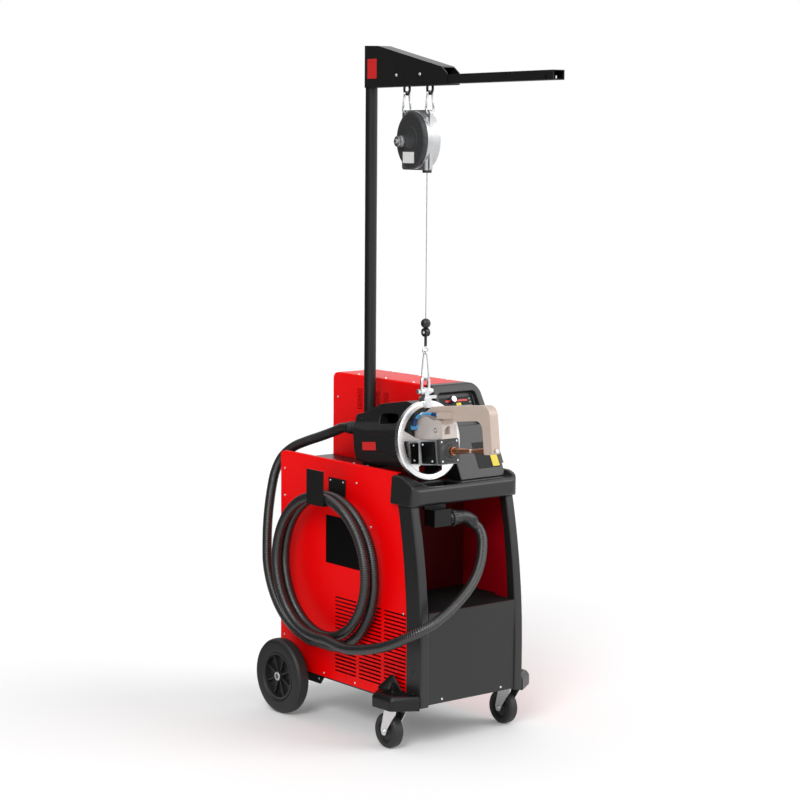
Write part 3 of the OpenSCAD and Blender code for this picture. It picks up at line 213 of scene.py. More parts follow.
def shown(name, mesh, material, sharp=35):
    """Links a mesh as a piece, smooth but for edges sharper than sharp degrees."""
    mesh.polygons.foreach_set("use_smooth", [True] * len(mesh.polygons))
    mesh.set_sharp_from_angle(angle=math.radians(sharp))
    mesh.materials.clear()
    mesh.materials.append(material)
    return linked(name, mesh)


def baked(block):
    """The mesh that block's modifiers leave. Block goes."""
    bpy.context.view_layer.update()
    mesh = bpy.data.meshes.new_from_object(block.evaluated_get(bpy.context.evaluated_depsgraph_get()))
    bpy.data.objects.remove(block)
    return mesh


def grown(name, material, build, data=None, sharp=35, **sizes):
    """Runs the node tree that build makes on data, and keeps the result as a plain mesh."""
    tree = bpy.data.node_groups.new(name, "GeometryNodeTree")
    web = Web(tree)
    tree.interface.new_socket("Geometry", in_out="OUTPUT", socket_type="NodeSocketGeometry")
    tree.interface.new_socket("Base", in_out="INPUT", socket_type="NodeSocketGeometry")
    sockets = {}
    for size, value in sizes.items():
        kind = "NodeSocketInt" if isinstance(value, int) else "NodeSocketFloat"
        sockets[size] = tree.interface.new_socket(size, in_out="INPUT", socket_type=kind)
    inlet = tree.nodes.new("NodeGroupInput")
    outlet = tree.nodes.new("NodeGroupOutput")
    result = build(web, **{n: Socket(web, inlet.outputs[n]) for n in ["Base", *sizes]})
    result = web.add("GeometryNodeRealizeInstances", inputs={0: result})
    result = web.add("GeometryNodeSetMaterial", inputs={0: result, "Material": material})
    tree.links.new(result.end, outlet.inputs[0])
    base = linked(name + "_base", data or bpy.data.meshes.new(name + "_base"))
    grower = base.modifiers.new(name, "NODES")
    grower.node_group = tree
    for size, value in sizes.items():
        grower[sockets[size].identifier] = value
    return shown(name, baked(base), material, sharp)


def put(made, body, slot, *nodes):
    """The piece moves with body and stands for nodes. slot is not used."""
    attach(made, body)
    if nodes:
        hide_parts(*nodes)
    return made


def smooth_line(points, step):
    """Points every step metres on a smooth curve through points, and its length."""
    p = np.array([2 * points[0] - points[1], *points, 2 * points[-1] - points[-2]], float)
    t = np.linspace(0, 1, 24, endpoint=False)[:, None]
    line = []
    for a, b, c, d in zip(p, p[1:], p[2:], p[3:]):
        bend, twist = 2 * a - 5 * b + 4 * c - d, 3 * b - a - 3 * c + d
        line.extend(0.5 * (2 * b + (c - a) * t + bend * t**2 + twist * t**3))
    line = np.array([*line, p[-2]])
    run = np.concatenate([[0], np.cumsum(np.linalg.norm(np.diff(line, axis=0), axis=1))])
    places = np.linspace(0, run[-1], max(2, round(run[-1] / step) + 1))
    return np.stack([np.interp(places, run, line[:, k]) for k in range(3)], 1), run[-1]


def line_data(name, points):
    """A curve through points, for a node tree to follow."""
    curve = bpy.data.curves.new(name, "CURVE")
    curve.dimensions = "3D"
    spline = curve.splines.new("POLY")
    spline.points.add(len(points) - 1)
    spline.points.foreach_set("co", np.column_stack([points, np.ones(len(points))]).ravel())
    return curve


rubber = Finish("ribbed_hose_rubber", Specular_IOR_Level=0.7)
painted_groove_shade = rubber.add("ShaderNodeAttribute", {"attribute_name": "rib"}, out="Fac")
dust = rubber.noise(90, 4)
grain = rubber.noise(1800, 2)
dusty = rubber.two(dust, grey(0.016), grey(0.030))
# Painted shade: where the rib is low, in the grooves, the rubber is near black; the crests keep the dusty
# tone.
rubber.show(Base_Color=rubber.two(rubber.ranged(painted_groove_shade, 0.0, 0.8), grey(0.001), dusty),
            Roughness=0.16 + 0.12 * dust, Normal=rubber.bump(grain, 0.0002))


def ribbed_wall(web, Base, diameter, pitch, rib, step, sides):
    """A tube along Base with one rib that climbs it as a screw's thread does."""
    path = web.add("GeometryNodeResampleCurve", {"mode": "LENGTH"}, {"Curve": Base, "Length": step})
    path = web.stored(path, "along", web.add("GeometryNodeSplineParameter", out="Length"))
    size = {"Resolution": sides, "Radius": diameter * 0.5 - rib}
    section = web.add("GeometryNodeCurvePrimitiveCircle", inputs=size)
    section = web.stored(section, "around", web.add("GeometryNodeInputIndex") / sides)
    tube = {"Curve": path, "Profile Curve": section, "Fill Caps": True}
    wall = web.add("GeometryNodeCurveToMesh", inputs=tube)
    phase = web.named("along") / pitch + web.named("around")
    wall = web.stored(wall, "rib", web.math("ABSOLUTE", web.math("SINE", phase * math.pi)))
    rise = {0: web.add("GeometryNodeInputNormal"), "Scale": web.named("rib") * rib}
    offset = web.add("ShaderNodeVectorMath", {"operation": "SCALE"}, rise)
    return web.add("GeometryNodeSetPosition", inputs={"Geometry": wall, "Offset": offset})


# The route, in the cabinet's millimetres. The coil's angles are degrees round its middle.
hose_diameter = 30
hose_wall = {"diameter": hose_diameter / 1000, "pitch": 0.0062, "rib": 0.0015, "step": 0.00155, "sides": 20}
coil_radius, coil_y, coil_z = 205, 290, 476
coil_pitch = hose_diameter + 1
coil_from, coil_to, coil_round, coil_opening = -77, -810, -180, 44
side_x = 182
cuff_y, cuff_z, cuff_length = 272.3, 38, 89.7
route_step = 0.0014


def coil_point(angle):
    """Two turns that open towards their start and step outwards on the hook."""
    share = max(0, angle - coil_round) / (coil_from - coil_round)
    radius, a = coil_radius + coil_opening * share**1.2, math.radians(angle)
    out = side_x + hose_diameter / 2 + 1 + coil_pitch * (coil_from - angle) / 360
    return Vector((-out, coil_y + radius * math.cos(a), coil_z + radius * math.sin(a)))


steps_per_turn = 24
coil_steps = round((coil_from - coil_to) / 360 * steps_per_turn)
coil = [coil_point(coil_from + (coil_to - coil_from) * i / coil_steps) for i in range(coil_steps + 1)]
coil_start = coil[0] + hose_diameter * (coil[0] - coil[1]).normalized()
coil_end = coil[-1] + Vector((0, -hose_diameter, 0))
cuff_mouth = [CART.inverted() @ (GUN @ Vector((0, cuff_y + cuff_length + out, cuff_z)))
              for out in (0, hose_diameter)]
rear_route = [(-98, 423, 845), (-110, 472, 826), (-126, 519, 808), (-142, 563, 787), (-157, 598, 755),
              (-171, 615, 710), (-187, 614, 653), (-204, 606, 579), (-216, 595, 507), (-220, 586, 431),
              (-215, 567, 360), (-209, 532, 302), (-205, 480, 262)]
front_route = [(-262, 146, 264), (-262, 67, 275), (-261, -15, 296), (-258, -66, 315), (-248, -111, 338),
               (-226, -146, 360), (-190, -159, 378), (-146, -158, 399), (-99, -150, 423),
               (-53, -141, 451), (-13, -131, 486), (15, -119, 524), (31, -108, 562), (38, -97, 592)]
elbow, outlet = Vector((4, -70, 650)), Vector((26, -14, -30)).normalized()
rear_points = [*cuff_mouth, *rear_route, 2 * coil_start - coil[0], coil_start]
front_points = [coil_start, *coil, coil_end, coil_end - Vector((0, hose_diameter, 0)), *front_route,
                elbow + 50 * outlet, elbow + 34 * outlet]
hoses = {}
for name, points in (("hose_to_gun", rear_points), ("hose_coil_and_lead", front_points)):
    centre, run = smooth_line([CART @ Vector(p) for p in points], route_step)
    made = grown(name, rubber.material, ribbed_wall, line_data(name, centre), sharp=80, **hose_wall)
    hoses[name] = (made, centre, run)
rear_hose, front_hose = hoses["hose_to_gun"][0], hoses["hose_coil_and_lead"][0]


def fillet(points, steps=4):
    """A closed outline with each corner (x, y, radius) rounded."""
    flat = [np.array(p[:2], float) for p in points]
    made = []
    for i, b in enumerate(flat):
        radius = points[i][2] if len(points[i]) > 2 else 0
        if not radius:
            made.append(b)
            continue
        before, after = flat[i - 1] - b, flat[(i + 1) % len(flat)] - b
        u, v = before / np.linalg.norm(before), after / np.linalg.norm(after)
        half = math.acos(np.clip(u @ v, -1, 1)) / 2
        centre = b + (u + v) / np.linalg.norm(u + v) * radius / math.sin(half)
        p, q = (b + w * radius / math.tan(half) - centre for w in (u, v))
        start = math.atan2(p[1], p[0])
        sweep = (math.atan2(q[1], q[0]) - start + math.pi) % (2 * math.pi) - math.pi
        angles = [start + sweep * k / steps for k in range(steps + 1)]
        made += [centre + radius * np.array((math.cos(a), math.sin(a))) for a in angles]
    return made


def turned(profile, place, sides, steps=3, waist=None):
    """A turned shape: the closed outline (radius, height, fillet) round place's Z axis. waist gives
    the share of the radius that is kept at (angle, radius, height)."""
    vertices, faces, rings = [], [], []
    for radius, height in fillet(profile, steps):
        wide = radius > 1e-6
        rings.append((len(vertices), wide))
        for k in range(sides if wide else 1):
            a = 2 * math.pi * k / sides
            r = radius * (waist(a, radius, height) if waist else 1)
            vertices.append(place @ Vector((r * math.cos(a), r * math.sin(a), height)))
    for (a, wide_a), (b, wide_b) in zip(rings, rings[1:] + rings[:1]):
        for k in range(sides):
            n = (k + 1) % sides
            if wide_a and wide_b:
                faces.append((a + k, a + n, b + n, b + k))
            elif wide_a:
                faces.append((a + k, a + n, b))
            elif wide_b:
                faces.append((a, b + n, b + k))
    return vertices, faces


def swept(line, radius, sides):
    """A round bar along a line of points, with flat ends."""
    line = np.array(line, float)
    n = len(line)
    tangents = np.gradient(line, axis=0)
    tangents /= np.linalg.norm(tangents, axis=1)[:, None]
    side = np.cross(tangents[0], (0.31, 0.52, 0.79))
    angles = np.arange(sides) * 2 * math.pi / sides
    vertices = []
    for t, p in zip(tangents, line):
        side = side - t * (side @ t)
        side /= np.linalg.norm(side)
        third = np.cross(t, side)
        vertices += [p + radius * (side * math.cos(a) + third * math.sin(a)) for a in angles]
    faces = [tuple(range(sides))[::-1], tuple(range((n - 1) * sides, n * sides))]
    for i in range(n - 1):
        a, b = i * sides, (i + 1) * sides
        faces += [(a + k, a + (k + 1) % sides, b + (k + 1) % sides, b + k) for k in range(sides)]
    return vertices, faces


def built(name, material, *shapes, sharp=35):
    """One piece from several closed shapes, all facing outwards."""
    vertices, faces = [], []
    for points, rims in shapes:
        faces += [tuple(len(vertices) + i for i in rim) for rim in rims]
        vertices += [tuple(p) for p in points]
    mesh = bpy.data.meshes.new(name)
    mesh.from_pydata(vertices, [], faces)
    shape = bmesh.new()
    shape.from_mesh(mesh)
    bmesh.ops.recalc_face_normals(shape, faces=shape.faces)
    shape.to_mesh(mesh)
    shape.free()
    return shown(name, mesh, material, sharp)


def turn(axis, degrees):
    return Matrix.Rotation(math.radians(degrees), 4, axis)


def at(*offset):
    return Matrix.Translation(offset)


def moulded(name, colour, rough, grain=0.00012, flecks=0.25, scale=900, coat=0.0, shine=0.5):
    """A moulded plastic with a fine spark-eroded grain and a faint unevenness in its gloss."""
    made = Finish(name, Coat_Roughness=0.3, Coat_Weight=coat, Specular_IOR_Level=shine)
    texture = made.noise(scale, 3)
    cloud = made.noise(14, 3)
    mixed = made.two(texture * 0.7 + cloud * 0.3, scaled(colour, 1 - flecks), scaled(colour, 1 + flecks))
    return made.show(Base_Color=mixed, Roughness=rough - 0.06 + 0.12 * cloud,
                     Normal=made.bump(texture, grain))


# The cuff is a moulded bellows with six folds, clamped to the casing's rear end.
black_nylon = moulded("black_nylon", (0.012, 0.012, 0.013), 0.36, 0.00006, 0.3, 1500)
cuff_outline = [(0, 0), (15, 0, 0.5), (15, 20, 0), (21, 20, 1.5)]
for fold in range(6):
    h, r = 29 + 8 * fold, 20.6 - 0.32 * fold
    cuff_outline += [(r, h, 0.6), (r - 2.2, h + 1.2, 0.5), (r - 2.3, h + 3.4, 0.5), (r - 0.2, h + 4.6, 0.6)]
cuff_outline += [(18.6, 78, 0.5), (18, 80, 0.5), (18, 88.5, 1), (17, cuff_length, 0.3),
                 (0, cuff_length)]
bellows = turned(cuff_outline, GUN @ at(0, cuff_y, cuff_z) @ turn("X", -90), 72)
cuff = put(built("hose_cuff_bellows", black_nylon, bellows), "gun", "black_rubber", "hose_cuff")


def knurl(angle, radius, height):
    """Round flutes on the locking ring's grip."""
    return 1 - (0.035 * abs(math.sin(angle * 12)) if radius > 23 else 0)


def hexagon(angle, radius, height):
    """Six flats on the gland nut."""
    sixth = math.pi / 3
    return 1 / math.cos((angle + sixth / 2) % sixth - sixth / 2) if radius > 17.4 else 1


# The plug has a knurled locking ring, a bent neck and a hexagonal gland nut on the hose.
ring_outline = [(0, 0), (19, 0, 1), (19, 3, 0), (23.6, 4, 1), (23.6, 17.5, 1), (21, 18.5, 0.6),
                (21, 34, 1), (18.6, 38, 2), (18.6, 44, 1), (0, 44)]
gland_outline = [(0, 8), (17.2, 8, 1), (17.5, 14, 0.4), (17.5, 27, 1), (16.6, 28.5, 0.5), (16.4, 34, 1),
                 (0, 34)]
neck = []
for share in np.linspace(0, 1, 17):
    inner = Vector((-22, 0, 0)) * (1 - share) ** 2 + Vector((4, 0, 0)) * share * (1 - share)
    neck.append(CART @ (elbow + inner + 18 * outlet * share**2))
elbow_turn = Vector((0, 0, 1)).rotation_difference(outlet).to_matrix().to_4x4()
plug = built("hose_plug_body", black_nylon,
             turned(ring_outline, CART @ at(-60, -70, 650) @ turn("Y", 90), 96, waist=knurl),
             swept(neck, 0.0188, 32),
             turned(gland_outline, CART @ at(*elbow) @ elbow_turn, 72, waist=hexagon), sharp=30)
put(plug, "cart", "black_rubber", "hose_plug")

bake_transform(rear_hose)
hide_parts("hose_rear")
put(front_hose, "cart", "black_rubber", "hose_coil", "hose_front")
for name, far_end, lay, goes_with in (("hose_to_gun", "object", "hanging", [cuff]),
                                      ("hose_coil_and_lead", "plug", "coiled", [plug])):
    made, centre, run = hoses[name]
    centre[::6].tolist() + [centre[-1].tolist()]

# The socket the plug fits is a black coupling block bolted under the tray.
black_gloss = moulded("black_coupling", grey(0.003), 0.2, 0.00003, 0.3, 1200, coat=0.1, shine=0.25)


def dressed(material, *nodes, edge=0.0, rounds=2):
    """CAD pieces that keep their shape, with their corners broken by edge metres."""
    for name in nodes:
        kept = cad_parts[name]
        kept.data.materials.clear()
        kept.data.materials.append(material)
        if "custom_normal" in kept.data.attributes:
            kept.data.attributes.remove(kept.data.attributes["custom_normal"])
        kept.data.polygons.foreach_set("use_smooth", [True] * len(kept.data.polygons))
        kept.modifiers.new("joined", "WELD").merge_threshold = 0.00002
        if edge:
            flat = kept.modifiers.new("flats", "DECIMATE")
            flat.decimate_type, flat.angle_limit = "DISSOLVE", math.radians(0.4)
            broken = kept.modifiers.new("corners", "BEVEL")
            broken.width, broken.segments, broken.angle_limit = edge, rounds, math.radians(38)
            broken.harden_normals = True
        kept.modifiers.new("creases", "EDGE_SPLIT").split_angle = math.radians(34)
        kept.modifiers.new("flat_shading", "WEIGHTED_NORMAL").keep_sharp = True


dressed(black_gloss, "hose_socket", edge=0.002)

# ------------------------------------------------------------------ sheet metal cabinet
# Folded sheets in smooth red powder coat over a black floor plate, screwed together. The bay's liner
# has a near-black red and the side panels' faces inside the bay a darker red, both painted shade;
# the rear sheet and the deck are black, the lower front sheet dark grey.
inner_face_x, bay_top_z = 0.1812, 0.70


def powder(name, colour, rough, peel=0.00012, shine=0.4, scale=700, mottle=0.12, inner=None):
    """Powder coat: orange peel, a little dust and a slow change of gloss. The side panels' inner faces
    below the deck take the colour inner, a darker red painted in as the shade inside the bay."""
    made = Finish(name, Specular_IOR_Level=shine)
    skin = made.noise(scale, 2)
    cloud = made.noise(5, 4)
    dusting = cloud * 0.6 + made.noise(260, 3) * 0.4
    coat = made.two(dusting, scaled(colour, 1 - mottle), scaled(colour, 1 + mottle))
    if inner:
        # Painted shade: inside the bay, below the deck, the colour becomes inner.
        x, z = made.coordinate(0), made.coordinate(2)
        coat = made.two((x * x < inner_face_x**2) * (z < bay_top_z), coat, inner)
    return made.show(Base_Color=coat, Roughness=rough - 0.05 + 0.1 * cloud, Normal=made.bump(skin, peel))


smooth = {"peel": 0.00008, "shine": 0.1, "scale": 420, "mottle": 0.06}
# Its inner colour is painted shade on the side panels' faces inside the bay.
red_coat = powder("red_powder_coat", (0.90, 0.0, 0.001), 0.34, inner=(0.36, 0.001, 0.008), **smooth)
# Painted shade: the bay's liner has a near-black red in place of the shade that falls inside the bay.
bay_shade_coat = powder("bay_painted_shade_coat", (0.075, 0.002, 0.003), 0.45, **smooth)
black_coat = powder("black_powder_coat", grey(0.010), 0.34, mottle=0.25)
grey_coat = powder("dark_grey_powder_coat", grey(0.018), 0.42)
dressed(red_coat, "left_side_panel", "right_side_panel", "upper_cabinet")
dressed(bay_shade_coat, "bay_liner")
dressed(black_coat, "chassis", "back_panel", "hose_hook")
dressed(grey_coat, "front_lower_panel")


def rectangle(x0, y0, x1, y1, radius):
    return fillet([(x0, y0, radius), (x1, y0, radius), (x1, y1, radius), (x0, y1, radius)])


def plate(points, depth, place, edge):
    """A flat plate of an outline on place's XY plane, its upper rim chamfered by edge."""
    rim = np.array([p[:2] for p in points], float)
    before, after = np.roll(rim, 1, 0), np.roll(rim, -1, 0)
    side = [(b - a) / np.linalg.norm(b - a) for a, b in zip(before, after)]
    area = sum(a[0] * b[1] - a[1] * b[0] for a, b in zip(rim, after))
    inward = np.array([(-s[1], s[0]) for s in side]) * math.copysign(1, area)
    layers = [(rim, 0), (rim, depth - edge), (rim + inward * edge, depth)]
    n = len(rim)
    vertices = [place @ Vector((*p, z)) for layer, z in layers for p in layer]
    faces = [tuple(range(n))[::-1], tuple(range(2 * n, 3 * n))]
    for k in (0, n):
        faces += [(k + i, k + (i + 1) % n, k + n + (i + 1) % n, k + n + i) for i in range(n)]
    return vertices, faces


def slab(name, material, outline, depth, place, edge, body, slot, *nodes):
    """A thin plate as a piece: outline and place as plate has them."""
    put(built(name, material, plate(outline, depth, place, edge)), body, slot, *nodes)


def left_face(where, x):
    """The plane at x that faces left, with X to the front and Y up."""
    return where @ at(x, 0, 0) @ turn("Z", -90) @ turn("X", 90)


# A thin black rubber mat lies on the bay's shelf, and a blank name plate is stuck on the left side.
bay_mat = fillet([(-157, -99), (157, -99), (157, 3), (177, 3, 3), (177, 147, 3), (-177, 147, 3),
                  (-177, 3, 3), (-157, 3)])
mat_rubber = moulded("bay_mat_rubber", grey(0.004), 0.7, 0.0003, 0.3, 500, shine=0.2)
slab("bay_mat", mat_rubber, bay_mat, 1.2, CART @ at(0, 0, 395), 0.3, "cart", "black_rubber")
black_plate = moulded("black_plate", grey(0.003), 0.3, 0.00002, 0.2, 1500, shine=0.15)
slab("side_plate", black_plate, rectangle(-345, 474, -182, 616, 1), 0.35, left_face(CART, -side_x), 0.1,
     "cart", "black_steel")

# ------------------------------------------------------------------ moulded front
# Tray, columns, feet and the sloping control housing are thick dark grey mouldings with a fine
# grain, their corners well rounded where hands and knees meet them.


def plain_mesh(name, shape):
    """The mesh of a bmesh, which is freed."""
    mesh = bpy.data.meshes.new(name)
    shape.to_mesh(mesh)
    shape.free()
    return mesh


def welded(*nodes):
    """A bmesh of CAD nodes, each edge's two sides joined."""
    shape = bmesh.new()
    for node in nodes:
        shape.from_mesh(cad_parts[node].data)
    bmesh.ops.remove_doubles(shape, verts=shape.verts, dist=1e-5)
    return shape


def softened(name, material, cell, passes, *nodes, cut=None):
    """The outer skin of CAD nodes with its corners rounded off, as a moulding's are. Faces in the
    plane x = cut, where two halves meet, are left out."""
    shape = welded(*nodes)
    if cut is not None:
        inner = [f for f in shape.faces if all(abs(v.co.x - cut) < 2e-5 for v in f.verts)]
        bmesh.ops.delete(shape, geom=inner, context="FACES")
        bmesh.ops.remove_doubles(shape, verts=shape.verts, dist=1e-5)
    block = linked(name + "_block", plain_mesh(name, shape))
    skin = block.modifiers.new("skin", "REMESH")
    skin.mode, skin.voxel_size, skin.adaptivity = "VOXEL", cell, 0
    ease = block.modifiers.new("ease", "SMOOTH")
    ease.factor, ease.iterations = 0.5, passes
    return shown(name, baked(block), material, 180)


charcoal = moulded("charcoal_moulding", grey(0.014), 0.36, 0.00010, 0.28, 850)
black_moulding = moulded("black_moulding", grey(0.009), 0.36, 0.00010, 0.28, 850, shine=0.3)
for name, material, slot, cell, passes in (("front_tray", charcoal, "grey_moulding", 0.0024, 16),
                                           ("left_column", charcoal, "grey_moulding", 0.0017, 5),
                                           ("right_column", charcoal, "grey_moulding", 0.0017, 5),
                                           ("left_foot", black_moulding, "black_moulding", 0.002, 14),
                                           ("right_foot", black_moulding, "black_moulding", 0.002, 14),
                                           ("control_housing", charcoal, "grey_moulding", 0.0017, 10)):
    put(softened(name + "_moulding", material, cell, passes, name), "cart", slot, name)

# Keypad, display and rotary knob on the floor of the housing's recess, and blank fields below it.
# The housing's face is an arc that leans back from the tray.
face_radius, face_foot_z, face_foot_y, face_foot_lean = 3250, 745, -35, math.radians(25.7)
board_z, board_depth, board_lean = 892, 22, 25


def face_lean(z):
    """The face's lean from the upright at height z, in radians."""
    return math.asin(math.sin(face_foot_lean) + (z - face_foot_z) / face_radius)


def face_y(z):
    """How far back the face lies at height z."""
    return face_radius * (math.cos(face_lean(face_foot_z)) - math.cos(face_lean(z))) + face_foot_y


metal_knob = Finish("turned_aluminium", Metallic=1.0)
rings = metal_knob.noise(2600, 2, (1, 1, 0.02))
knob_tone = metal_knob.two(rings, (0.50, 0.51, 0.52), (0.68, 0.69, 0.70))
dressed(black_plate, "control_board")
dressed(metal_knob.show(Base_Color=knob_tone, Roughness=0.22 + 0.16 * rings), "control_knob")
dressed(moulded("red_switch", (0.55, 0.01, 0.01), 0.35), "main_switch", edge=0.0008)
board_turn = math.radians(board_lean)
board = CART @ at(0, face_y(board_z) + board_depth * math.cos(board_turn),
                  board_z - board_depth * math.sin(board_turn)) @ turn("X", 90 - board_lean)
plain_red = moulded("plain_red_field", (0.62, 0.012, 0.012), 0.32, 0.00002, 0.1, 1500)
plain_yellow = moulded("plain_yellow_field", (0.80, 0.62, 0.012), 0.35, 0.00002, 0.1, 1500)
grey_keys = moulded("grey_keys", (0.16, 0.165, 0.17), 0.42, 0.00005, 0.15, 1500)
glass_black = moulded("display_window", (0.004, 0.006, 0.008), 0.08, 0.0, 0.1, 400, coat=1.0)
slab("control_strip", plain_red, rectangle(60, 78, 142, 84, 0.8), 0.5, board, 0.15, "cart", "red_paint")
slab("control_field", plain_yellow, rectangle(98, 58, 116, 74, 0.5), 0.4, board, 0.1, "cart", "red_paint")
slab("control_display", glass_black, rectangle(100, 40, 156, 66, 2), 0.8, board, 0.4,
     "cart", "black_moulding")
key_places = [(108, 34), (120, 34), (132, 34), (144, 34), (150, 74), (150, 84)]
keys = [plate(rectangle(x - 4.5, y - 3, x + 4.5, y + 3, 1.6), 1.6, board, 0.6) for x, y in key_places]
put(built("control_keys", grey_keys, *keys), "cart", "grey_moulding")
plate_z = 803
face = CART @ at(0, face_y(plate_z), plate_z) @ turn("X", 90 - math.degrees(face_lean(plate_z)))
slab("front_plate", black_plate, rectangle(91, -35, 173, 44, 2), 0.5, face @ at(0, 0, 0.4), 0.15,
     "cart", "black_moulding")
slab("front_field", plain_yellow, rectangle(145, -32, 170, 5, 1), 0.4, face @ at(0, 0, 0.9), 0.1,
     "cart", "red_paint")

# ------------------------------------------------------------------ mast, bracket and arm
# Round mast in a bolted socket, a folded taper bracket and a rectangular arm tube that slides in it,
# all in black powder coat, with a blank red field on the bracket's left side.

# The arm's frame, in millimetres, stands on the mast's axis, and the arm points along -Y.
mast_x, mast_y, arm_heading = -45, 315, -9
ARM = CART @ at(mast_x, mast_y, 0) @ turn("Z", arm_heading)
dressed(black_coat, "mast", "mast_socket")
dressed(black_coat, "arm_bracket", edge=0.0008)
dressed(black_coat, "arm_tube", edge=0.0015)
slab("bracket_plate", plain_red, rectangle(12, 1880, 66, 1936, 1.5), 0.5, left_face(ARM, -20.7), 0.15,
     "cart", "red_paint")

# ------------------------------------------------------------------ spring balancer
# A cast aluminium case with a rope guide, a dark pressed cover over the spring with a blank label,
# its adjusting knob, and zinc-plated wire links in black eyes above.


def bright(name, colour, rough, scale=60, brushed=None, mottle=0.12, depth=0.00004, metal=1.0):
    """Bare or plated metal: a slow change of tone, a finer one of gloss, and a slight texture."""
    made = Finish(name, Metallic=metal)
    tone = made.two(made.noise(scale, 4), scaled(colour, 1 - mottle), scaled(colour, 1 + mottle))
    fine = made.noise(1600, 2, brushed)
    return made.show(Base_Color=tone, Roughness=rough - 0.06 + 0.12 * fine, Normal=made.bump(fine, depth))


zinc = bright("bright_zinc", (0.76, 0.77, 0.78), 0.28)
cast = bright("cast_aluminium", (0.56, 0.57, 0.58), 0.42, 45, mottle=0.15, depth=0.00020)
dark_cast = bright("dark_casting", (0.055, 0.056, 0.058), 0.46, 70, mottle=0.15, depth=0.00020, metal=0.4)
dressed(zinc, "gun_carabiner")


def loose_parts(name, material, node, wanted):
    """A piece made of those separate parts of a CAD node whose lowest point satisfies wanted."""
    shape = welded(node)
    waiting = set(shape.verts)
    while waiting:
        part, edge = set(), [waiting.pop()]
        while edge:
            vertex = edge.pop()
            part.add(vertex)
            fresh = {e.other_vert(vertex) for e in vertex.link_edges} & waiting
            waiting -= fresh
            edge += fresh
        if not wanted(min(v.co.z for v in part)):
            bmesh.ops.delete(shape, geom=list(part), context="VERTS")
    return shown(name, plain_mesh(name, shape), material, 34)


eyes_from_z = 1.82
eyes = loose_parts("balancer_eyes", black_coat, "balancer_hangers", lambda low: low > eyes_from_z)
put(eyes, "cart", "black_steel", "balancer_hangers")
links = loose_parts("balancer_links", zinc, "balancer_hangers", lambda low: low < eyes_from_z)
put(links, "cart", "zinc", "balancer_hangers")
dressed(cast, "balancer_case", edge=0.001)
dressed(cast, "balancer_drum")
dressed(black_nylon, "rope_buffer")
cover_axis = ARM @ at(-15, -270, 1706) @ turn("Y", -90)
cover_outline = [(0, 0), (80, 0, 1), (80, 7, 2), (74, 12.6, 3), (62, 13.6, 2), (60, 11.8, 1),
                 (40, 11.8, 1), (38, 13.4, 1), (22, 13.8, 2), (20, 12.2, 1), (0, 12.2)]


def notches(angle, radius, height):
    """Twelve shallow notches in the cover's rim."""
    return 1 - (0.012 * (math.cos(angle * 12) > 0.8) if radius > 78 else 0)


def grip(angle, radius, height):
    """Flutes round the dial's inner disc, the one that fingers turn."""
    return 1 - (0.05 * abs(math.sin(angle * 14)) if radius > 14.6 and height < 22 else 0)


dish = turned(cover_outline, cover_axis, 144, waist=notches)
put(built("balancer_dish", dark_cast, dish), "cart", "dark_aluminium", "balancer_cover")
white_plate = moulded("plain_white_field", (0.72, 0.72, 0.71), 0.38, 0.00002, 0.05, 1500)
slab("balancer_plate", white_plate, rectangle(-64, -26, -33, 36, 1.5), 0.5, cover_axis @ at(0, 0, 13.4), 0.1,
     "cart", "dark_aluminium")
dial_outline = [(0, 4), (5, 4), (5, 14.3), (16, 14.3, 0.6), (16, 21.5, 1), (13, 22.3, 0.4), (13, 27.3),
                (15, 27.3, 0.6), (15, 33.3, 1), (7, 33.3), (7, 38.5, 0.8), (0, 39.3)]
dial = turned(dial_outline, ARM @ at(-15, -232, 1702) @ turn("Y", -90), 112, waist=grip)
put(built("tension_dial", cast, dial), "tension_adjuster", "zinc", "tension_knob")

# ------------------------------------------------------------------ wire rope and suspension
# Six-strand steel wire rope that winds up inside the balancer as the gun rises, a rubber stop ball
# with its clamp, a wire link and a zinc-plated U-shackle whose block grips the carrying ring.
strands = 6


def laid_rope(web, Base, length, lay, strand, steps):
    """Strands that wind round each other once in every lay."""
    offset = strand * 1.05
    course = {"Resolution": steps, "Rotations": length / lay, "Start Radius": offset,
              "End Radius": offset, "Height": length}
    helix = web.add("GeometryNodeCurveSpiral", inputs=course)
    wire = web.add("GeometryNodeCurvePrimitiveCircle", inputs={"Resolution": 7, "Radius": strand})
    tube = {"Curve": helix, "Profile Curve": wire, "Fill Caps": True}
    wall = web.add("GeometryNodeCurveToMesh", inputs=tube)
    starts = web.add("GeometryNodePoints", inputs={"Count": strands})
    step = web.add("GeometryNodeInputIndex") * (2 * math.pi / strands)
    round_axis = web.add("ShaderNodeCombineXYZ", inputs={"Z": step})
    placed = {"Points": starts, "Instance": wall, "Rotation": round_axis}
    return web.add("GeometryNodeInstanceOnPoints", inputs=placed)


steel_wire = bright("wire_rope_steel", (0.46, 0.47, 0.48), 0.36, 300)
# The rope is 0.496 m long from its stop to the drum, and 0.096 m with the gun right up.
rope = grown("balancer_wire_rope", steel_wire, laid_rope, length=0.496, lay=0.021, strand=0.00073, steps=14)
rope_foot = ARM @ Vector((0, -320, 1210))
rope.data.transform(Matrix.Translation(rope_foot))
put(rope, "cart", "zinc", "balancer_rope")
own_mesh(rope)

# The stop is one moulding round a zinc-plated eye at its lower end.
stop = Finish("rope_stop_rubber")
eye = stop.coordinate(2) < 1.1335
stop_grain = stop.noise(1400, 2)
stop_rubber = stop.two(stop_grain, grey(0.010), grey(0.016))
stop.show(Base_Color=stop.two(eye, stop_rubber, (0.76, 0.77, 0.78)), Metallic=eye,
          Roughness=0.3 + 0.1 * stop_grain, Normal=stop.bump(stop_grain, 0.00004))
dressed(stop.material, "rope_stop")
dressed(zinc, "gun_shackle", edge=0.0006)

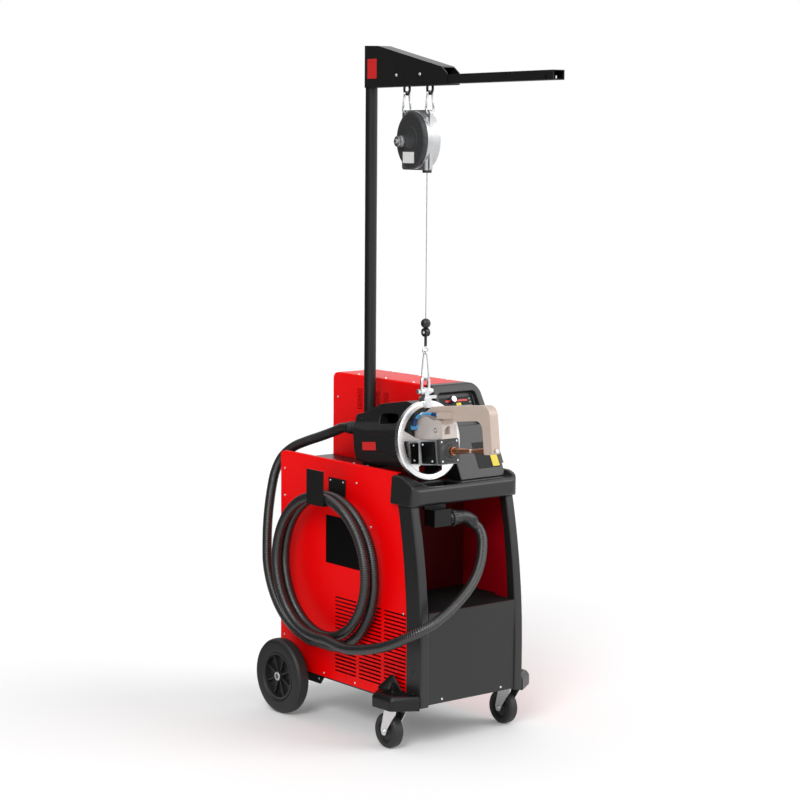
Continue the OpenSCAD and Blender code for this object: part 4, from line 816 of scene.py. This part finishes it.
# ------------------------------------------------------------------ spot welding gun
# The gun hangs in a polished carrying ring. Its casing is two black glass-filled nylon halves that
# are screwed together on the middle line; the finger opening lies under the handle.
joint_width = 0.0005
shell_nylon = moulded("glass_filled_nylon", grey(0.012), 0.36, 0.00014, 0.3, 700)
middle = (GUN @ Vector((0, 0, 0))).x
casing = softened("gun_casing", shell_nylon, 0.0014, 9, "left_gun_shell", "right_gun_shell", cut=middle)
for side, name in ((-1, "left"), (1, "right")):
    half = bmesh.new()
    half.from_mesh(casing.data)
    everything = half.verts[:] + half.edges[:] + half.faces[:]
    bmesh.ops.bisect_plane(half, geom=everything, plane_co=(middle + side * joint_width / 2, 0, 0),
                           plane_no=(-side, 0, 0), clear_outer=True)
    bmesh.ops.holes_fill(half, edges=[e for e in half.edges if e.is_boundary])
    title = name + "_gun_casing"
    put(shown(title, plain_mesh(title, half), shell_nylon, 45), "gun", "gun_plastic", name + "_gun_shell")
bpy.data.objects.remove(casing)
slab("trigger_button", black_nylon, rectangle(-6.6, -13.4, 6.6, 13.4, 3), 11,
     GUN @ at(0, 122.5, 85) @ turn("X", 180), 1.0, "trigger", "gun_plastic", "gun_trigger")
slab("casing_plate", plain_red, rectangle(-232, -24, -170, 0, 2), 0.6, left_face(GUN, -54), 0.2,
     "gun", "gun_plastic")

# Machined and cast alloy: the ring, the head that holds the C-arm's root, the transformer's frame
# with its black terminal plates, and the cylinder's flange.
polished = bright("polished_aluminium", (0.90, 0.905, 0.91), 0.26, 35, (1, 0.05, 1), 0.04, 0.00002)
champagne = bright("champagne_casting", (0.57, 0.46, 0.395), 0.44, mottle=0.04, depth=0.00010, metal=0.15)
pale_casting = bright("pale_casting", (0.60, 0.54, 0.50), 0.40, mottle=0.04, depth=0.00010, metal=0.25)
satin_alloy = bright("satin_alloy", (0.38, 0.39, 0.40), 0.38, mottle=0.10, depth=0.00008)
dressed(polished, "support_ring", edge=0.0006)
dressed(pale_casting, "gun_head", edge=0.0010)
dressed(champagne, "c_arm", edge=0.0018, rounds=3)
dressed(satin_alloy, "transformer_box", edge=0.0008)
dressed(dark_cast, "cylinder_flange", edge=0.0008)
dressed(black_plate, "terminal_plates", edge=0.0006)
terminal_outline = fillet([(-68, -3.6, 2), (-39, -4, 2), (-43, -63, 2), (-69, -61, 2)])
slab("terminal_cover", black_plate, terminal_outline, 2.6, GUN @ at(0, -5, 0) @ turn("X", 90), 0.5,
     "gun", "black_steel")

# Electrodes turned from copper, a little heat-stained, with pale worn tips where they meet.
tips_y, worn_length = -0.1845, 0.0045
copper = Finish("turned_copper", Metallic=1.0)
marks = copper.noise(2600, 2, (1, 0.04, 1))
tint = copper.two(copper.noise(120, 4), (0.52, 0.21, 0.12), (0.70, 0.34, 0.20))
worn = copper.math("ABSOLUTE", copper.coordinate(1) - tips_y) < worn_length
copper.show(Base_Color=copper.two(worn, tint, (0.92, 0.76, 0.68)), Roughness=0.24 + 0.14 * marks,
            Normal=copper.bump(marks, 0.00003))
dressed(copper.material, "fixed_electrode", "moving_electrode")

# The blue air tube has dark blue fittings at its ends and a clamp on its bend.
tube_bend = [Vector(p) for p in ((-38, 12, 40), (-41, -2, 84), (-27.8, -35.1, 81), (-19.8, -75.1, 71))]


def tube_at(t):
    """A point on the tube, from 0 at its fitting to 1 on the C-arm."""
    return sum((p * math.comb(3, k) * t**k * (1 - t) ** (3 - k) for k, p in enumerate(tube_bend)), Vector())


def sleeve(start, end, radius):
    """A sleeve on the tube from start to end, as shares of its length, radius in millimetres."""
    return swept([GUN @ tube_at(start + (end - start) * k / 10) for k in range(11)], radius / 1000, 20)


sleeve_blue = moulded("dark_blue_fitting", (0.006, 0.035, 0.13), 0.25, 0.00002, 0.2, 1500)
fittings = sleeve(0.03, 0.20, 6.4), sleeve(0.20, 0.27, 5.2), sleeve(0.84, 0.97, 5.6)
put(built("air_fittings", sleeve_blue, *fittings), "gun", "blue_tube")
put(built("air_clamp", zinc, sleeve(0.50, 0.56, 5.0)), "gun", "zinc")
blue = Finish("blue_polyurethane", Roughness=0.22, Coat_Weight=0.3)
blue.show(Base_Color=blue.two(blue.noise(200, 2), (0.05, 0.28, 0.58), (0.08, 0.38, 0.72)))
dressed(blue.material, "air_tube")

# ------------------------------------------------------------------ wheels
# Rear wheels: black rubber tyres on spoked plastic hubs, on a steel rod with a washer at each end.
# Front casters: zinc-plated pressed forks with rubber-tyred wheels.
wheel_x, axle_y, wheel_radius = 234, 491, 112.5
caster_x, caster_radius = 215, 50
tyre_rubber = moulded("tyre_rubber", grey(0.012), 0.55, 0.00014, 0.3, 600)
hub_nylon = moulded("hub_nylon", (0.014, 0.014, 0.015), 0.40, 0.00008, 0.25, 900)
shoulder = [(70.2, -16, 1), (73.5, -17.5, 1), (75, -20, 1), (78, -21.2, 1.5), (98, -21.8, 6),
            (107, -19, 4), (111.6, -12, 2), (111.6, -9.2, 0.4), (110.7, -8.8, 0.3), (110.7, -8.2, 0.3),
            (112.2, -7.8, 0.4), (wheel_radius, -0.8, 0.4), (111.6, -0.4, 0.3)]
washer_outline = [(7.6, 18), (13, 18), (13, 19.6, 0.5), (12, 20.4, 0.4), (7.6, 20.4, 0.4)]
caster_rim = [(5.1, -16), (11, -16, 1), (13, -10.5, 2), (30, -9.5, 1), (31, -14, 1), (34, -14.6, 1),
              (36, -16, 1.5), (45, -15.6, 3), (caster_radius, -10, 5)]


def mirrored_outline(half):
    """An outline from its half on one side of the wheel's middle plane."""
    return half + [(p[0], -p[1], *p[2:]) for p in reversed(half)]


for side, name in ((-1, "left"), (1, "right")):
    centre = CART @ at(side * wheel_x, axle_y, wheel_radius)
    tyre = turned(mirrored_outline(shoulder), centre @ turn("Y", 90), 120, 3)
    put(built(name + "_rear_tyre", tyre_rubber, tyre), name + "_wheel", "tyre", name + "_tyre")
    washer = turned(washer_outline, centre @ turn("Y", side * 90), 48)
    put(built(name + "_hub_washer", zinc, washer), name + "_wheel", "zinc")
dressed(hub_nylon, "left_hub", "right_hub")
dressed(zinc, "left_caster_fork", "right_caster_fork", edge=0.0006)
dressed(bright("steel_rod", (0.20, 0.20, 0.21), 0.45, 80), "rear_axle")
for side, name in ((-1, "left"), (1, "right")):
    centre = CART @ at(side * caster_x, 0, caster_radius)
    roller = turned(mirrored_outline(caster_rim), centre @ turn("Y", 90), 96, 4)
    put(built(name + "_caster_tyre", tyre_rubber, roller), name + "_caster_roller", "tyre",
        name + "_caster_wheel")

# ------------------------------------------------------------------ screws
# Button heads with a round drive recess, one pattern set at every screw's place: zinc-plated, and
# black oxide steel on the gun's casing and the columns.
black_oxide = Finish("black_oxide_steel", Metallic=1.0)
oxide_grain = black_oxide.noise(900, 3)
black_oxide.show(Base_Color=black_oxide.two(oxide_grain, grey(0.03), grey(0.08)),
                 Roughness=0.24 + 0.12 * oxide_grain)
head_outline = [(0, 0.12), (0.2, 0.12), (0.24, 0.3), (0.3, 0.3, 0.02), (0.44, 0.2, 0.1), (0.5, 0), (0, 0)]
head = built("screw_pattern", zinc, turned(head_outline, Matrix.Identity(4), 20, 2))


def set_screws(web, Base, millimetre):
    """The pattern at each point of Base, turned to face out and scaled to the screw's diameter."""
    pattern = web.add("GeometryNodeObjectInfo", inputs={"Object": head}, out="Geometry")
    facing = {"Vector": web.named("facing", "FLOAT_VECTOR")}
    lean = web.add("FunctionNodeAlignRotationToVector", {"axis": "Z"}, facing)
    wide = web.named("wide") * millimetre
    placed = {"Points": Base, "Instance": pattern, "Rotation": lean, "Scale": wide}
    return web.add("GeometryNodeInstanceOnPoints", inputs=placed)


def screws(name, body, slot, node, places, finish=zinc):
    """places holds (frame, point, direction, diameter), all in the frame's own millimetres."""
    mesh = bpy.data.meshes.new(name)
    mesh.from_pydata([tuple(f @ Vector(p)) for f, p, d, w in places], [], [])
    ways = [(f.to_3x3() @ Vector(d)).normalized() for f, p, d, w in places]
    mesh.attributes.new("facing", "FLOAT_VECTOR", "POINT").data.foreach_set("vector", np.ravel(ways))
    mesh.attributes.new("wide", "FLOAT", "POINT").data.foreach_set("value", [w for f, p, d, w in places])
    put(grown(name, finish, set_screws, mesh, millimetre=0.001), body, slot, node)


panel_screws = ((551, 728), (551, 646), (553, 220), (352, 140), (202, 140), (199, 727), (36, 729),
                (131, 609), (-19, 383))
column_screws = ((-35, 648), (-59, 507), (-67, 364), (-73.5, 228), (-74, 164))
plated, blackened = [], []
for side in (-1, 1):
    plated += [(CART, (side * side_x, y, z), (side, 0, 0), 7) for y, z in panel_screws]
    blackened += [(CART, (side * 190, y, z), (side, 0, 0), 7) for y, z in column_screws]
    plated.append((CART, (side * 110, -105, 145), (0, -1, 0), 7))
    plated.append((CART, (-184.5, coil_y + side * 30, 721), (-1, 0, 0), 7))
    plated += [(ARM, (side * 20.7, -y, 1886.6), (side, 0, 0), 10) for y in (180, 311)]
plated += [(CART, (x, y, 1005), (0, 0, 1), 7) for y in (200, 330, 460) for x in (26, 154)]
plated += [(CART, (14, 548, z), (-1, 0, 0), 7) for z in (930, 830)]
plated += [(CART, (mast_x + x, mast_y + y, 757), (0, 0, 1), 9) for x in (-32, 32) for y in (-32, 32)]
screws("cabinet_screws", "cart", "zinc", "cart_screws", plated)
screws("column_screws", "cart", "black_steel", "cart_screws", blackened, black_oxide.material)

# On the gun: the flange, the terminals, the electrode's holder and the stop's clamp.
plated = [(GUN, (x, -94, -30 + z), (0, -1, 0), 7) for x in (-27, 27) for z in (-27, 27)]
plated += [(GUN, (-38, y, z), (-1, 0, 0), 7) for y, z in ((-24, -9), (-62, -56), (16, -11), (16, -52))]
plated += [(GUN, (-58, -7.6, z), (0, -1, 0), 6) for z in (-10, -52)] + [(GUN, (0, -293, -30), (0, -1, 0), 13)]
clamp = Matrix.Translation((rope_foot.x, rope_foot.y, 1.172)) @ MM
plated += [(clamp, (side * 7, 0, 0), (side, 0, 0), 9) for side in (-1, 1)]
screws("gun_fasteners", "gun", "zinc", "gun_screws", plated)

# The casing's side leans in towards the handle, as its half width at three heights gives.
blackened = []
for y, z in ((262, 66), (228, 70), (190, 94), (120, 98)):
    (low, wide), (high, narrow) = ((84, 22), (118, 20)) if z > 84 else ((58, 30), (84, 22))
    lean = (wide - narrow) / (high - low)
    blackened.append((GUN, (-narrow - lean * (high - z), y, z), (-1, 0, lean), 6))
screws("casing_screws", "gun", "black_steel", "gun_screws", blackened, black_oxide.material)
bpy.data.objects.remove(head)

# ------------------------------------------------------------------ studio
# A wide pale floor that meets a white surround. Three broad suns stand over the left shoulder, to
# the front right and overhead, and even light comes from all round. A dark screen to the rear left,
# which only reflections see, keeps black and red surfaces deep.
screen = (-0.62, 0.78, 0)
white_floor = Finish("studio_floor", Roughness=0.8, Specular_IOR_Level=0.1, Emission_Strength=0.09)
direct, reflected = white_floor.ray("Camera"), white_floor.ray("Glossy")
dim = white_floor.ranged(white_floor.along(white_floor.place, screen), 0.5, 1.8) * reflected
pale = white_floor.two(white_floor.noise(30, 3), grey(0.94), grey(0.96))
white_floor.show(Base_Color=white_floor.two(dim, pale, grey(0.06)),
                 Emission_Color=white_floor.two(direct + reflected - dim, grey(0), grey(1)))
ground = [(-40, -40, 0), (40, -40, 0), (40, 40, 0), (-40, 40, 0)]
floor = built("studio_floor", white_floor.material, (ground, [(0, 1, 2, 3)]))

world = bpy.data.worlds.new("studio")
bpy.context.scene.world = world
world.use_nodes = True
surround = Web(world.node_tree)
world.node_tree.nodes.clear()
direct, reflected = surround.ray("Camera"), surround.ray("Glossy")
way = surround.add("ShaderNodeTexCoord", out="Generated")
shade = surround.ranged(surround.along(way, screen), 0.35, 0.8)
strength = 0.48 + 0.52 * direct + reflected * (0.52 - 0.95 * shade)
light = surround.add("ShaderNodeBackground", inputs={"Color": (1, 1, 1, 1), "Strength": strength})
world.node_tree.links.new(light.end, world.node_tree.nodes.new("ShaderNodeOutputWorld").inputs[0])
for name, place, width, power in (("key", (-3.4, -2.4, 3.2), 24, 1.3),
                                  ("fill", (2.6, -2.8, 2.4), 40, 1.0),
                                  ("top", (0.2, 0.4, 4.0), 70, 0.35)):
    lamp = linked(name, bpy.data.lights.new(name, "SUN"))
    lamp.data.angle, lamp.data.energy = math.radians(width), power
    lamp.matrix_world = Vector(place).to_track_quat("Z", "Y").to_matrix().to_4x4()
bpy.context.scene.view_settings.view_transform = "Standard"
